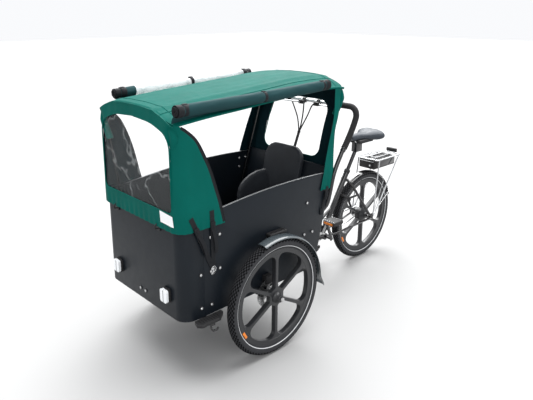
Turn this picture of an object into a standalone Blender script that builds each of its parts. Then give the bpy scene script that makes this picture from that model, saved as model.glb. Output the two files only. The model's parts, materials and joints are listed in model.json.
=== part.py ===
"""Three-wheeled cargo bicycle: front box, fabric canopy, hoop handlebar, steered rear half.

X points to the rider's left, -Y forwards and +Z up, in metres.  Pieces are placed from
the front axle (Y = 0) and the ground (Z = 0); the last step slides the whole assembly
along Y until its bounding box is centred over the origin.  The steering pivot joins the
front module (box, axle, handlebar) to the rear module (frame, saddle, drive, rack).
"""
from math import atan2, cos, pi, radians, sin, sqrt

import bmesh
import bpy
from mathutils import Matrix, Vector

# General fits
GAP = 0.0004                # clearance left between touching pieces
BORE_GAP = 0.0004           # radial clearance of a turning or sliding fit

# Wheels
WHEELBASE = 1.250
WHEEL_RADIUS = 0.3035       # 24 inch wheel, outside of the tyre
TYRE_WIDTH = 0.054
RIM_DEPTH = 0.022
RIM_WIDTH = 0.030
WHEEL_SIDES = 36
SPOKES = 6
SPOKE_HALF_WIDTH = 0.009
FRONT_HUB_RADIUS = 0.030
REAR_HUB_RADIUS = 0.048
HUB_WIDTH = 0.090
AXLE_RADIUS = 0.007
DISC_RADIUS = 0.075
DISC_BORE = 0.020
DISC_THICKNESS = 0.002

# Cargo box
BOX_WIDTH = 0.662
TRACK = BOX_WIDTH + 0.138   # between the centres of the front tyres
BOX_NOSE = 0.502            # front axle to the outside of the front panel
BOX_BOTTOM = 0.315
BOX_FRONT_HEIGHT = 0.485
BOX_REAR_HEIGHT = 0.540
BOX_TAIL = 0.372            # front axle to the outside of the rear panel, at its foot
REAR_LEAN = radians(13.2)
PANEL = 0.012
CORNER_RADIUS = 0.065
WRAP_END = -0.385           # Y where the wrapped front panel meets the side panels
SIDE_TOP = 0.8387           # height of the side panel's top edge over the axle
SIDE_TOP_SLOPE = 0.049
SIDE_TOP_CURVE = 0.1289

# Chassis and steering
BEAM_DEPTH = 0.042
BEAM_WIDTH = 0.040
RAIL_WIDTH = 0.025
RAIL_SPREAD = BOX_WIDTH / 2 - 0.131
PIVOT_Y = 0.150
PIN_RADIUS = 0.010
HEAD_RADIUS = 0.030
HEAD_BOTTOM = 0.226
PIVOT_PLATE = 0.010
MAIN_TUBE_RADIUS = 0.025

# Front mudguards and steps
FENDER_WIDTH = 0.066
FENDER_GAP = 0.012
FENDER_WALL = 0.0025
FENDER_START = radians(-8)
FENDER_END = radians(108)
UPPER_STEP_LENGTH = 0.115
UPPER_STEP_REACH = 0.037
UPPER_STEP_TOP = 0.618
UPPER_STEP_THICKNESS = 0.018
LOWER_STEP_REACH = 0.055
LOWER_STEP_THICKNESS = 0.015

# Headlights
LIGHT_SPREAD = BOX_WIDTH / 2 - 0.121
LIGHT_HEIGHT = 0.422
LIGHT_WIDTH = 0.060
LIGHT_TALL = 0.072
LIGHT_DEPTH = 0.026

# Seats in the box
BENCH_TOP = 0.482
BENCH_FRONT = 0.095
BENCH_BOARD = 0.012
CUSHION_THICKNESS = 0.052
BACKREST_WIDTH = BOX_WIDTH / 2 - 0.031
BACKREST_THICKNESS = 0.034
BACKREST_TOP = 0.935
DIVIDER_THICKNESS = 0.030

# Canopy
FABRIC = 0.003
CANOPY_BOTTOM = 0.745
CANOPY_NOSE = 0.512
CANOPY_TAIL = 0.612
ROOF_HALF_WIDTH = BOX_WIDTH / 2 - 0.031
ROOF_DROP = 0.060
CANOPY_FOOT_HALF_WIDTH = BOX_WIDTH / 2 + GAP + FABRIC + 0.001
CANOPY_HEAD_HALF_WIDTH = ROOF_HALF_WIDTH + 0.006
WINDOW_HALF_WIDTH = ROOF_HALF_WIDTH - 0.015
WINDOW_BOTTOM = 0.830
WINDOW_TOP = 1.180
WINDOW_CORNER = 0.040
PANE = 0.002
REAR_OPENING_HALF_WIDTH = ROOF_HALF_WIDTH - 0.080
REAR_OPENING_BOTTOM = 0.880
REAR_OPENING_TOP = 1.190
POLE_RADIUS = 0.006
SPREADER_X = ROOF_HALF_WIDTH - 0.060
ROLL_RADIUS = 0.029
ROLL_SPREAD = BOX_WIDTH / 2

# Handlebar
BAR_HALF_WIDTH = BOX_WIDTH / 2 - 0.001
BAR_HEIGHT = 1.155
BAR_Y = 0.700
BAR_BEND = 0.055
BAR_RADIUS = 0.011
STEM_RADIUS = 0.0125
STEM_FOOT = 0.620           # height of the tube that ties the stems across the rear panel
CABLE_RADIUS = 0.0065
WIRE_HOUSING_RADIUS = 0.0028
FOAM_RADIUS = 0.0165
FOAM_END = 0.200            # X where the foam on the crossbar ends
PERCH_SPREAD = 0.055
PERCH_WIDTH = 0.020
PERCH_RADIUS = 0.0165
LEVER_LENGTH = 0.115
LEVER_REACH = 0.030
SHIFTER_X = -0.180
SHIFTER_WIDTH = 0.034
SHIFTER_RADIUS = 0.017

# Rear frame
BRACKET_Y = 0.830
BRACKET_Z = 0.265
SHELL_RADIUS = 0.022
SHELL_HALF_WIDTH = 0.034
SEAT_TUBE_RADIUS = 0.0175
SEAT_TUBE_LENGTH = 0.440
SEAT_TUBE_LEAN = radians(31.8)
SEATPOST_RADIUS = 0.0125
SEATPOST_START = 0.300      # along the seat tube from the bottom bracket
SEATPOST_END = 0.612
SEATPOST_DROP = 0.080       # travel left below the post
STAY_RADIUS = 0.009
DROPOUT_SPREAD = 0.078
DROPOUT_PLATE = 0.006
COLLAR_HEIGHT = 0.022
COLLAR_WALL = 0.005

# Drive
CHAIN_LINE = 0.055
CHAINRING_RADIUS = 0.0768
SPROCKET_RADIUS = 0.0364
SPROCKET_THICKNESS = 0.003
CHAIN_WIDTH = 0.007
CHAIN_HEIGHT = 0.008
CRANK_LENGTH = 0.157
CRANK_PLANE = 0.081
CRANK_WIDTH = 0.024
CRANK_THICKNESS = 0.012
CRANK_ANGLE = radians(112)
SPINDLE_RADIUS = 0.009
PEDAL_AXLE_RADIUS = 0.006
PEDAL_WIDTH = 0.090
PEDAL_LENGTH = 0.095
PEDAL_THICKNESS = 0.026

# Saddle
SADDLE_LENGTH = 0.258
SADDLE_WIDTH = 0.215
SADDLE_THICKNESS = 0.062
SADDLE_NOSE_Y = 1.090
SADDLE_BOTTOM = 0.838

# Rear mudguard, rack, battery, light and lock
REAR_FENDER_WIDTH = 0.058
REAR_FENDER_GAP = 0.006
REAR_FENDER_START = radians(15)
REAR_FENDER_END = radians(121)
WIRE_RADIUS = 0.003
RACK_WIRE_RADIUS = 0.005
RACK_HALF_WIDTH = 0.084
RACK_FRONT = 1.285
RACK_REAR = 1.560
RACK_HEIGHT = 0.694
RACK_LEG_SPREAD = DROPOUT_SPREAD + DROPOUT_PLATE / 2 + RACK_WIRE_RADIUS + GAP
BATTERY_WIDTH = 0.130
BATTERY_HEIGHT = 0.062
BATTERY_LENGTH = 0.245
LIGHT_TAIL = 0.022
CLAMP_HALF_WIDTH = 0.045
CLAMP_FRONT = 1.330
CLAMP_REAR = 1.500
CLAMP_WIRE_RADIUS = 0.003
LOCK_RADIUS = 0.047
LOCK_WALL = 0.012
LOCK_WIDTH = 0.016
LOCK_LEAD = 0.077             # round the wheel from the seat stays to the lock

WHEEL_Z = WHEEL_RADIUS
FENDER_RADIUS = WHEEL_RADIUS + FENDER_GAP
FENDER_X = TRACK / 2 + 0.004
BOX_SIDE = BOX_WIDTH / 2
FLOOR_TOP = BOX_BOTTOM + PANEL
CUSHION_TOP = BENCH_TOP + GAP + CUSHION_THICKNESS
RIM_RADIUS = WHEEL_RADIUS - TYRE_WIDTH - GAP

ASSEMBLY = "cargo_bicycle"
WORKSHOP = "cutters"

FINISHES = {
    "box_panel": ((0.030, 0.032, 0.035), 0.45, 0.0),
    "black_paint": ((0.015, 0.015, 0.017), 0.30, 0.0),
    "gloss_black": ((0.010, 0.010, 0.011), 0.12, 0.0),
    "matte_black": ((0.020, 0.020, 0.022), 0.60, 0.0),
    "foam_black": ((0.018, 0.018, 0.020), 0.85, 0.0),
    "tyre_rubber": ((0.035, 0.036, 0.038), 0.85, 0.0),
    "wheel_grey": ((0.060, 0.062, 0.066), 0.40, 0.0),
    "canopy_green": ((0.004, 0.240, 0.160), 0.75, 0.0),
    "clear_film": ((0.750, 0.790, 0.800), 0.08, 0.0),
    "lens_white": ((0.850, 0.860, 0.870), 0.15, 0.0),
    "aluminium": ((0.740, 0.750, 0.760), 0.28, 1.0),
    "steel": ((0.560, 0.565, 0.570), 0.25, 1.0),
    "seat_grey": ((0.045, 0.052, 0.062), 0.65, 0.0),
    "saddle_slate": ((0.075, 0.085, 0.100), 0.50, 0.0),
    "lamp_red": ((0.500, 0.010, 0.010), 0.20, 0.0),
}


# ---------------------------------------------------------------------------------------
# Modelling tools


def collection(name):
    """Return the scene collection called name, made on first use."""
    found = bpy.data.collections.get(name)
    if found is None:
        found = bpy.data.collections.new(name)
        bpy.context.scene.collection.children.link(found)
    return found


def material(name):
    """Return the Principled material called name."""
    found = bpy.data.materials.get(name)
    if found is None:
        colour, roughness, metallic = FINISHES[name]
        found = bpy.data.materials.new(name)
        found.use_nodes = True
        shader = found.node_tree.nodes["Principled BSDF"]
        shader.inputs["Base Color"].default_value = (*colour, 1.0)
        shader.inputs["Roughness"].default_value = roughness
        shader.inputs["Metallic"].default_value = metallic
        found.diffuse_color = (*colour, 1.0)
    return found


def mesh_object(name, mesh):
    """Put a mesh in the workshop as an object called name."""
    made = bpy.data.objects.new(name, mesh)
    collection(WORKSHOP).objects.link(made)
    made.hide_render = True
    made.display_type = "WIRE"
    return made


def from_bmesh(name, bm):
    """Turn a bmesh into a workshop object."""
    mesh = bpy.data.meshes.new(name)
    bm.to_mesh(mesh)
    bm.free()
    return mesh_object(name, mesh)


def bake(made):
    """Swap an object's data for its evaluated, welded mesh and drop its modifiers."""
    bpy.context.view_layer.update()
    graph = bpy.context.evaluated_depsgraph_get()
    mesh = bpy.data.meshes.new_from_object(made.evaluated_get(graph))
    mesh.transform(made.matrix_world)
    bm = bmesh.new()
    bm.from_mesh(mesh)
    bmesh.ops.remove_doubles(bm, verts=bm.verts, dist=1e-6)
    bm.to_mesh(mesh)
    bm.free()
    name = made.name
    bpy.data.objects.remove(made)
    return mesh_object(name, mesh)


def flip_if_inside_out(made):
    """Point a closed mesh's faces outwards."""
    bm = bmesh.new()
    bm.from_mesh(made.data)
    bmesh.ops.recalc_face_normals(bm, faces=bm.faces)
    bm.to_mesh(made.data)
    bm.free()
    return made


def block(name, low, high, bevel=0.0, segments=2):
    """Make a box from its lowest to its highest corner, with its edges rounded."""
    bm = bmesh.new()
    bmesh.ops.create_cube(bm, size=1.0)
    size = Vector(high) - Vector(low)
    bmesh.ops.scale(bm, vec=size, verts=bm.verts)
    bmesh.ops.translate(bm, vec=(Vector(high) + Vector(low)) / 2, verts=bm.verts)
    made = from_bmesh(name, bm)
    if bevel > 0:
        rounding = made.modifiers.new("rounding", "BEVEL")
        rounding.width = bevel
        rounding.segments = segments
        made = bake(made)
    return made


def rod(name, start, end, radius, sides=16):
    """Make a cylinder between two points."""
    start, end = Vector(start), Vector(end)
    bm = bmesh.new()
    bmesh.ops.create_cone(bm, cap_ends=True, segments=sides, radius1=radius, radius2=radius,
                          depth=(end - start).length)
    turn = (end - start).to_track_quat("Z", "Y").to_matrix().to_4x4()
    bm.transform(Matrix.Translation((start + end) / 2) @ turn)
    return from_bmesh(name, bm)


def pipe(name, points, radius, level=2, closed=False, wall=0.0):
    """Sweep a round section along points; a wall makes it a hollow sleeve."""
    curve = bpy.data.curves.new(name, "CURVE")
    curve.dimensions = "3D"
    curve.bevel_depth = radius
    curve.bevel_resolution = level
    curve.use_fill_caps = not closed and wall == 0.0
    spline = curve.splines.new("POLY")
    spline.points.add(len(points) - 1)
    for knot, point in zip(spline.points, points):
        knot.co = (*point, 1.0)
    spline.use_cyclic_u = closed
    made = bpy.data.objects.new(name, curve)
    collection(WORKSHOP).objects.link(made)
    if wall == 0.0:
        return flip_if_inside_out(bake(made))
    sleeve = bake(made)
    shell = sleeve.modifiers.new("wall", "SOLIDIFY")
    shell.thickness = wall
    shell.offset = -1.0
    shell.use_even_offset = True
    flip_if_inside_out(sleeve)
    return flip_if_inside_out(bake(sleeve))


def sleeve_wall(outer, inner):
    """Return the wall of an eight-sided sleeve of radius outer over a bar of radius inner."""
    return outer * cos(pi / 8) - inner


PLANES = {
    "XY": Matrix(((1, 0, 0, 0), (0, 1, 0, 0), (0, 0, 1, 0), (0, 0, 0, 1))),
    "YZ": Matrix(((0, 0, 1, 0), (1, 0, 0, 0), (0, 1, 0, 0), (0, 0, 0, 1))),
    "XZ": Matrix(((1, 0, 0, 0), (0, 0, -1, 0), (0, 1, 0, 0), (0, 0, 0, 1))),
}


def plate(name, outlines, thickness, centre, plane):
    """Extrude a flat outline, with any holes after it, to a plate about centre."""
    curve = bpy.data.curves.new(name, "CURVE")
    curve.dimensions = "2D"
    curve.fill_mode = "BOTH"
    curve.extrude = thickness / 2
    for outline in outlines:
        spline = curve.splines.new("POLY")
        spline.points.add(len(outline) - 1)
        for knot, (across, up) in zip(spline.points, outline):
            knot.co = (across, up, 0.0, 1.0)
        spline.use_cyclic_u = True
    made = bpy.data.objects.new(name, curve)
    collection(WORKSHOP).objects.link(made)
    made.matrix_world = Matrix.Translation(centre) @ PLANES[plane]
    return flip_if_inside_out(bake(made))


def turned(name, profile, steps, centre, angle=2 * pi, wall=0.0):
    """Turn a profile of (radius, X) points about an X axis through centre."""
    bm = bmesh.new()
    knots = [bm.verts.new((radius, 0.0, along)) for radius, along in profile]
    closed = wall == 0.0
    for first, second in zip(knots, knots[1:] + knots[:1] if closed else knots[1:]):
        bm.edges.new((first, second))
    made = from_bmesh(name, bm)
    lathe = made.modifiers.new("lathe", "SCREW")
    lathe.axis = "Z"
    lathe.angle = angle
    lathe.steps = steps
    lathe.render_steps = steps
    lathe.use_merge_vertices = angle >= 2 * pi
    lathe.merge_threshold = 0.00001
    lathe.use_smooth_shade = False
    if wall > 0.0:
        shell = made.modifiers.new("wall", "SOLIDIFY")
        shell.thickness = wall
        shell.offset = 1.0
    made.matrix_world = Matrix.Translation(centre) @ PLANES["YZ"]
    return flip_if_inside_out(bake(made))


def combine(target, other, operation):
    """Apply one Boolean of other on target and drop other."""
    change = target.modifiers.new("change", "BOOLEAN")
    change.operation = operation
    change.solver = "EXACT"
    change.object = other
    name = target.name
    changed = bake(target)
    changed.name = name
    bpy.data.objects.remove(other)
    return changed


def unite(target, *others):
    """Join welded pieces into one body."""
    for other in others:
        target = combine(target, other, "UNION")
    return target


def cut(target, *others):
    """Cut holes and slots."""
    for other in others:
        target = combine(target, other, "DIFFERENCE")
    return target


def world_place(made):
    """Return where an unrotated object stands, through all its parents."""
    place = Vector(made.location)
    while made.parent is not None:
        made = made.parent
        place += made.location
    return place


def finish(made, name, finish_name, origin=None, parent=None):
    """Name a finished part, give it its material, and put its origin on its joint."""
    for holder in list(made.users_collection):
        holder.objects.unlink(made)
    collection(ASSEMBLY).objects.link(made)
    made.name = name
    made.data.name = name
    made.hide_render = False
    made.display_type = "TEXTURED"
    made.data.materials.clear()
    made.data.materials.append(material(finish_name))
    place = Vector(origin) if origin is not None else Vector((0.0, 0.0, 0.0))
    made.data.transform(Matrix.Translation(-place))
    made.location = place
    if parent is not None:
        made.parent = parent
        made.location = place - world_place(parent)
    return made


def hinge_empty(name, place, parent=None):
    """Make the empty that marks a moving body's joint."""
    made = bpy.data.objects.new(name, None)
    collection(ASSEMBLY).objects.link(made)
    made.empty_display_size = 0.05
    made.location = place
    if parent is not None:
        made.parent = parent
        made.location = Vector(place) - world_place(parent)
    return made


def arc(centre, radius, start, end, count):
    """Return count points on an arc, both ends included."""
    points = []
    for step in range(count):
        angle = start + (end - start) * step / (count - 1)
        points.append((centre[0] + radius * cos(angle), centre[1] + radius * sin(angle)))
    return points


def rounded_rectangle(low, high, radius, count=4):
    """Return the outline of a rectangle with round corners."""
    (left, bottom), (right, top) = low, high
    outline = []
    outline += arc((right - radius, bottom + radius), radius, -pi / 2, 0, count)
    outline += arc((right - radius, top - radius), radius, 0, pi / 2, count)
    outline += arc((left + radius, top - radius), radius, pi / 2, pi, count)
    outline += arc((left + radius, bottom + radius), radius, pi, 3 * pi / 2, count)
    return outline


def along(pairs, value):
    """Read a piecewise straight line through (value, result) pairs."""
    for (low, first), (high, second) in zip(pairs, pairs[1:]):
        if value <= high:
            break
    share = min(max((value - low) / (high - low), 0.0), 1.0)
    return first + (second - first) * share


def sheet(name, rows, wall):
    """Skin a grid of points, rows of equal length, and thicken it inwards."""
    bm = bmesh.new()
    grid = [[bm.verts.new(point) for point in row] for row in rows]
    for lower, upper in zip(grid, grid[1:]):
        for step in range(len(lower) - 1):
            bm.faces.new((lower[step], lower[step + 1], upper[step + 1], upper[step]))
    made = from_bmesh(name, bm)
    shell = made.modifiers.new("wall", "SOLIDIFY")
    shell.thickness = wall
    shell.offset = -1.0
    shell.use_even_offset = True
    return flip_if_inside_out(bake(made))


# ---------------------------------------------------------------------------------------
# Cargo box


def rear_wall_y(height):
    """Return Y of the rear panel's outer face at a height."""
    return BOX_TAIL + (height - BOX_BOTTOM) * sin(REAR_LEAN) / cos(REAR_LEAN)


def side_top(y):
    """Return the height of the side panel's top edge at Y."""
    return SIDE_TOP + SIDE_TOP_SLOPE * y - SIDE_TOP_CURVE * y * y


def front_outline(inset):
    """Return the plan of the box nose, offset inwards by inset, from left to right."""
    radius = CORNER_RADIUS - inset
    side = BOX_SIDE - inset
    nose = -BOX_NOSE + inset
    left = arc((side - radius, nose + radius), radius, 0, -pi / 2, 7)
    right = [(-x, y) for x, y in reversed(left)]
    return [(side, WRAP_END)] + left + right + [(-side, WRAP_END)]


def make_box():
    """Build the five panels of the cargo box."""
    ring = front_outline(0) + list(reversed(front_outline(PANEL)))
    height = BOX_FRONT_HEIGHT
    front = plate("front", [ring], height, (0, 0, BOX_BOTTOM + height / 2), "XY")
    finish(front, "box_front_panel", "box_panel")

    edge = WRAP_END + GAP
    top = [(edge + (rear_wall_y(0.83) - edge) * step / 8) for step in range(9)]
    outline = [(edge, BOX_BOTTOM)] + [(y, side_top(y)) for y in top]
    outline.append((rear_wall_y(BOX_BOTTOM), BOX_BOTTOM))
    for side, name in ((1, "box_left_panel"), (-1, "box_right_panel")):
        centre = (side * (BOX_SIDE - PANEL / 2), 0, 0)
        finish(plate(name, [outline], PANEL, centre, "YZ"), name, "box_panel")

    slant = PANEL / cos(REAR_LEAN)
    crest = BOX_BOTTOM + BOX_REAR_HEIGHT
    rear = [(rear_wall_y(BOX_BOTTOM) - slant, BOX_BOTTOM), (rear_wall_y(BOX_BOTTOM), BOX_BOTTOM),
            (rear_wall_y(crest), crest), (rear_wall_y(crest) - slant, crest)]
    width = BOX_WIDTH - 2 * PANEL - 2 * GAP
    finish(plate("rear", [rear], width, (0, 0, 0), "YZ"), "box_rear_panel", "box_panel")

    floor = front_outline(PANEL + GAP)
    tail = rear_wall_y(BOX_BOTTOM) - slant - GAP
    side = BOX_SIDE - PANEL - GAP
    floor = [(side, tail)] + floor[1:-1] + [(-side, tail)]
    floor_centre = (0, 0, BOX_BOTTOM + PANEL / 2)
    finish(plate("floor", [floor], PANEL, floor_centre, "XY"), "box_floor", "box_panel")


def make_seats():
    """Build the bench, its cushion, the divider and the backrest."""
    half = BOX_SIDE - PANEL - 2 * GAP
    board = BENCH_BOARD
    back = rear_wall_y(BENCH_TOP - board) - PANEL / cos(REAR_LEAN) - 2 * GAP
    bench = [(BENCH_FRONT, FLOOR_TOP + GAP), (BENCH_FRONT + board, FLOOR_TOP + GAP),
             (BENCH_FRONT + board, BENCH_TOP - board), (back, BENCH_TOP - board),
             (back, BENCH_TOP), (BENCH_FRONT, BENCH_TOP)]
    finish(plate("bench", [bench], 2 * half, (0, 0, 0), "YZ"), "bench", "box_panel")

    face = rear_wall_y(CUSHION_TOP) - (PANEL + BACKREST_THICKNESS) / cos(REAR_LEAN) - 4 * GAP
    cushion = block("cushion", (-half + 0.012, BENCH_FRONT + 0.004, BENCH_TOP + GAP),
                    (half - 0.012, face - 0.004, CUSHION_TOP), 0.015)
    finish(cushion, "bench_cushion", "seat_grey")

    foot = CUSHION_TOP + GAP
    front = BENCH_FRONT + 0.008
    divider = [(front, foot), (front, foot + 0.165), (front + 0.012, 0.741), (front + 0.030, 0.767),
               (front + 0.059, 0.789), (front + 0.096, 0.807), (front + 0.142, 0.819),
               (front + 0.215, 0.826), (front + 0.237, 0.783), (front + 0.257, foot + 0.165),
               (face - 0.010, foot)]
    made = plate("divider", [divider], DIVIDER_THICKNESS, (0, 0, 0), "YZ")
    finish(made, "centre_divider", "seat_grey")

    length = (BACKREST_TOP - foot) / cos(REAR_LEAN)
    half_back = BACKREST_WIDTH / 2
    foot_radius, head_radius = 0.020, 0.080
    outline = arc((half_back - foot_radius, foot_radius), foot_radius, -pi / 2, 0, 3)
    outline += arc((half_back - head_radius, length - head_radius), head_radius, 0, pi / 2, 6)
    outline += arc((head_radius - half_back, length - head_radius), head_radius, pi / 2, pi, 6)
    outline += arc((foot_radius - half_back, foot_radius), foot_radius, pi, 3 * pi / 2, 3)
    backrest = plate("backrest", [outline], BACKREST_THICKNESS, (0, 0, 0), "XZ")
    offset = PANEL + GAP + BACKREST_THICKNESS / 2
    base_y = rear_wall_y(foot) - offset / cos(REAR_LEAN)
    lean = Matrix.Rotation(-REAR_LEAN, 4, "X")
    lift = BACKREST_THICKNESS / 2 * sin(REAR_LEAN)
    backrest.data.transform(Matrix.Translation((0, base_y, foot + lift)) @ lean)
    finish(backrest, "backrest", "seat_grey")


def make_steps():
    """Build the tread plates at the box's lower corners and over the wheels."""
    inner = BOX_SIDE + GAP
    low = BOX_BOTTOM - LOWER_STEP_THICKNESS
    reach = inner + LOWER_STEP_REACH
    tread = [(inner, -0.445), (reach - 0.020, -0.458), (reach, -0.440), (reach, -0.338),
             (inner + 0.020, -0.292), (inner, -0.292)]
    for side, word in ((1, "left"), (-1, "right")):
        upper = block("step", (min(side * inner, side * (inner + UPPER_STEP_REACH)), 0.0,
                               UPPER_STEP_TOP - UPPER_STEP_THICKNESS),
                      (max(side * inner, side * (inner + UPPER_STEP_REACH)), UPPER_STEP_LENGTH,
                       UPPER_STEP_TOP), 0.004, 1)
        finish(upper, word + "_upper_step", "matte_black")
        outline = [(side * x, y) for x, y in tread]
        centre = (0, 0, low + LOWER_STEP_THICKNESS / 2)
        lower = plate("step", [outline], LOWER_STEP_THICKNESS, centre, "XY")
        finish(lower, word + "_lower_step", "matte_black")


def make_headlights():
    """Build the two headlights on the front panel."""
    back = -BOX_NOSE - GAP
    for side, word in ((1, "left"), (-1, "right")):
        middle = side * LIGHT_SPREAD
        low = (middle - LIGHT_WIDTH / 2, back - LIGHT_DEPTH, LIGHT_HEIGHT - LIGHT_TALL / 2)
        high = (middle + LIGHT_WIDTH / 2, back, LIGHT_HEIGHT + LIGHT_TALL / 2)
        finish(block("light", low, high, 0.008), word + "_headlight", "lens_white")


# ---------------------------------------------------------------------------------------
# Chassis, front wheels and mudguards


def make_chassis():
    """Build the welded frame under the box, with its stub axles and steering pin."""
    top = BOX_BOTTOM - GAP
    base = top - BEAM_DEPTH
    beam = block("chassis", (-BOX_SIDE, -BEAM_WIDTH / 2, base), (BOX_SIDE, BEAM_WIDTH / 2, top))
    parts = []
    shelf = min(top, WHEEL_Z + DISC_RADIUS - 0.025)    # stays under the brake caliper
    foot = min(base + 0.002, WHEEL_Z - AXLE_RADIUS - 0.008)
    head = max(shelf - 0.002, WHEEL_Z + AXLE_RADIUS + 0.006)
    edge = BEAM_WIDTH / 2 - 0.001
    for side in (1, -1):
        low = (side * RAIL_SPREAD - RAIL_WIDTH / 2, WRAP_END - 0.045, top - RAIL_WIDTH - 0.001)
        high = (side * RAIL_SPREAD + RAIL_WIDTH / 2, BOX_TAIL - 0.040, top - 0.001)
        parts.append(block("rail", low, high))
        xs = sorted((side * (BOX_SIDE + 0.002), side * (BOX_SIDE + 0.010)))
        parts.append(block("upright", (xs[0], 0.001 - edge, foot), (xs[1], edge - 0.001, head)))
        xs = sorted((side * (BOX_SIDE - 0.004), side * (BOX_SIDE + 0.008)))
        parts.append(block("ledge", (xs[0], -edge, base + 0.001), (xs[1], edge, shelf - 0.001)))
        inner = side * (BOX_SIDE + 0.004)
        outer = side * (TRACK / 2 + HUB_WIDTH / 2 + 0.008)
        parts.append(rod("stub", (inner, 0, WHEEL_Z), (outer, 0, WHEEL_Z), AXLE_RADIUS, 12))
    step_bar = BOX_BOTTOM - LOWER_STEP_THICKNESS - GAP
    reach = BOX_SIDE + LOWER_STEP_REACH - 0.012
    parts.append(block("bar", (-reach, -0.385, step_bar - 0.020), (reach, -0.360, step_bar)))
    plate_half = 0.030
    lower = HEAD_BOTTOM - GAP - PIVOT_PLATE
    upper = top - 0.002
    nose = 0.008
    parts.append(block("upper", (-plate_half, nose, upper - PIVOT_PLATE),
                       (plate_half, PIVOT_Y + 0.030, upper)))
    parts.append(block("lower", (-plate_half, nose, lower),
                       (plate_half, PIVOT_Y + 0.030, lower + PIVOT_PLATE)))
    parts.append(block("web", (-plate_half + 0.002, nose + 0.001, lower + 0.002),
                       (plate_half - 0.002, 0.048, upper - 0.002)))
    parts.append(rod("pin", (0, PIVOT_Y, lower + 0.003), (0, PIVOT_Y, upper - 0.003), PIN_RADIUS))
    finish(unite(beam, *parts), "chassis", "black_paint")


def spoke_window(angle):
    """Return the outline of the opening between two spokes, about angle."""
    rim = RIM_RADIUS - RIM_DEPTH
    half = pi / SPOKES
    outline = []
    shape = [(rim, 0.0), (rim, 0.55), (rim - 0.007, 0.78), (rim - 0.026, 1.0), (0.135, 1.0),
             (0.085, 1.0)]
    for radius, share in shape:
        limit = half - SPOKE_HALF_WIDTH / radius
        outline.append((radius, share * limit))
    outline.append((0.058, 0.55 * (half - SPOKE_HALF_WIDTH / 0.058)))
    mirrored = [(radius, -turn) for radius, turn in reversed(outline) if turn > 0]
    inner = [(0.054, 0.0)]
    points = outline + inner + mirrored
    return [(radius * cos(angle + turn), radius * sin(angle + turn)) for radius, turn in points]


def make_wheel(prefix, place, hub_radius, body):
    """Build a tyre and a six-spoke moulded wheel about place, parented to body."""
    bpy.ops.mesh.primitive_torus_add(major_segments=WHEEL_SIDES, minor_segments=8,
                                     major_radius=WHEEL_RADIUS - TYRE_WIDTH / 2,
                                     minor_radius=TYRE_WIDTH / 2)
    tyre = bpy.context.object
    tyre.data.transform(Matrix.Translation(place) @ PLANES["YZ"])
    finish(tyre, prefix + "_tyre", "tyre_rubber", place, body)

    rim = arc((0, 0), RIM_RADIUS, 0, 2 * pi * (1 - 1 / WHEEL_SIDES), WHEEL_SIDES)
    windows = [spoke_window(pi / 2 + pi / SPOKES * (2 * turn + 1)) for turn in range(SPOKES)]
    wheel = plate("wheel", [rim] + windows, RIM_WIDTH, place, "YZ")
    half = HUB_WIDTH / 2
    x, y, z = place
    hub = rod("hub", (x - half, y, z), (x + half, y, z), hub_radius, 20)
    bore = rod("bore", (x - half - 0.01, y, z), (x + half + 0.01, y, z), AXLE_RADIUS + BORE_GAP, 12)
    finish(cut(unite(wheel, hub), bore), prefix + "_wheel", "wheel_grey", place, body)


def make_disc_and_caliper(word, side, body):
    """Build one front brake: the disc on the hub and the caliper on the chassis."""
    face = TRACK / 2 - HUB_WIDTH / 2 - GAP
    profile = [(DISC_RADIUS, face), (DISC_RADIUS, face - DISC_THICKNESS),
               (DISC_BORE, face - DISC_THICKNESS), (DISC_BORE, face)]
    profile = [(radius, side * x) for radius, x in profile]
    disc = turned("disc", profile, 24, (0, 0, WHEEL_Z))
    place = (side * TRACK / 2, 0, WHEEL_Z)
    finish(disc, word + "_brake_disc", "steel", place, body)

    low = Vector((BOX_SIDE + GAP, -0.022, WHEEL_Z + DISC_RADIUS - 0.022))
    high = Vector((face + 0.011, 0.022, WHEEL_Z + DISC_RADIUS + 0.020))
    slot_low = (face - DISC_THICKNESS - 0.001, -0.03, low.z - 0.01)
    slot_high = (face + 0.001, 0.03, WHEEL_Z + DISC_RADIUS + 0.004)
    corners = [sorted((side * a, side * b)) for a, b in ((low.x, high.x), (slot_low[0], slot_high[0]))]
    caliper = block("caliper", (corners[0][0], low.y, low.z), (corners[0][1], high.y, high.z))
    slot = block("slot", (corners[1][0], slot_low[1], slot_low[2]),
                 (corners[1][1], slot_high[1], slot_high[2]))
    finish(cut(caliper, slot), word + "_brake_caliper", "matte_black")


def fender_profile(radius, width, centre):
    """Return the arched cross section of a mudguard as (radius, X) points."""
    half = width / 2
    shape = [(-1.0, -0.010), (-0.85, -0.003), (0.0, 0.0), (0.85, -0.003), (1.0, -0.010)]
    return [(radius + rise, centre + share * half) for share, rise in shape]


def make_front_mudguard(word, side):
    """Build one front mudguard with its bracket to the box side."""
    profile = fender_profile(FENDER_RADIUS, FENDER_WIDTH, side * FENDER_X)
    sweep = FENDER_END - FENDER_START
    shell = turned("shell", profile, 14, (0, 0, 0), sweep, FENDER_WALL)
    shell.data.transform(Matrix.Translation((0, 0, WHEEL_Z)) @ Matrix.Rotation(FENDER_START, 4, "X"))
    inner = sorted((side * (BOX_SIDE + GAP), side * (FENDER_X - FENDER_WIDTH / 2 + 0.005)))
    anchor = WHEEL_Z + sqrt((FENDER_RADIUS - 0.006) ** 2 - 0.185 ** 2)
    bracket = block("bracket", (inner[0], 0.175, anchor - 0.012), (inner[1], 0.195, anchor + 0.004))
    finish(unite(shell, bracket), word + "_mudguard", "gloss_black")


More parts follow.
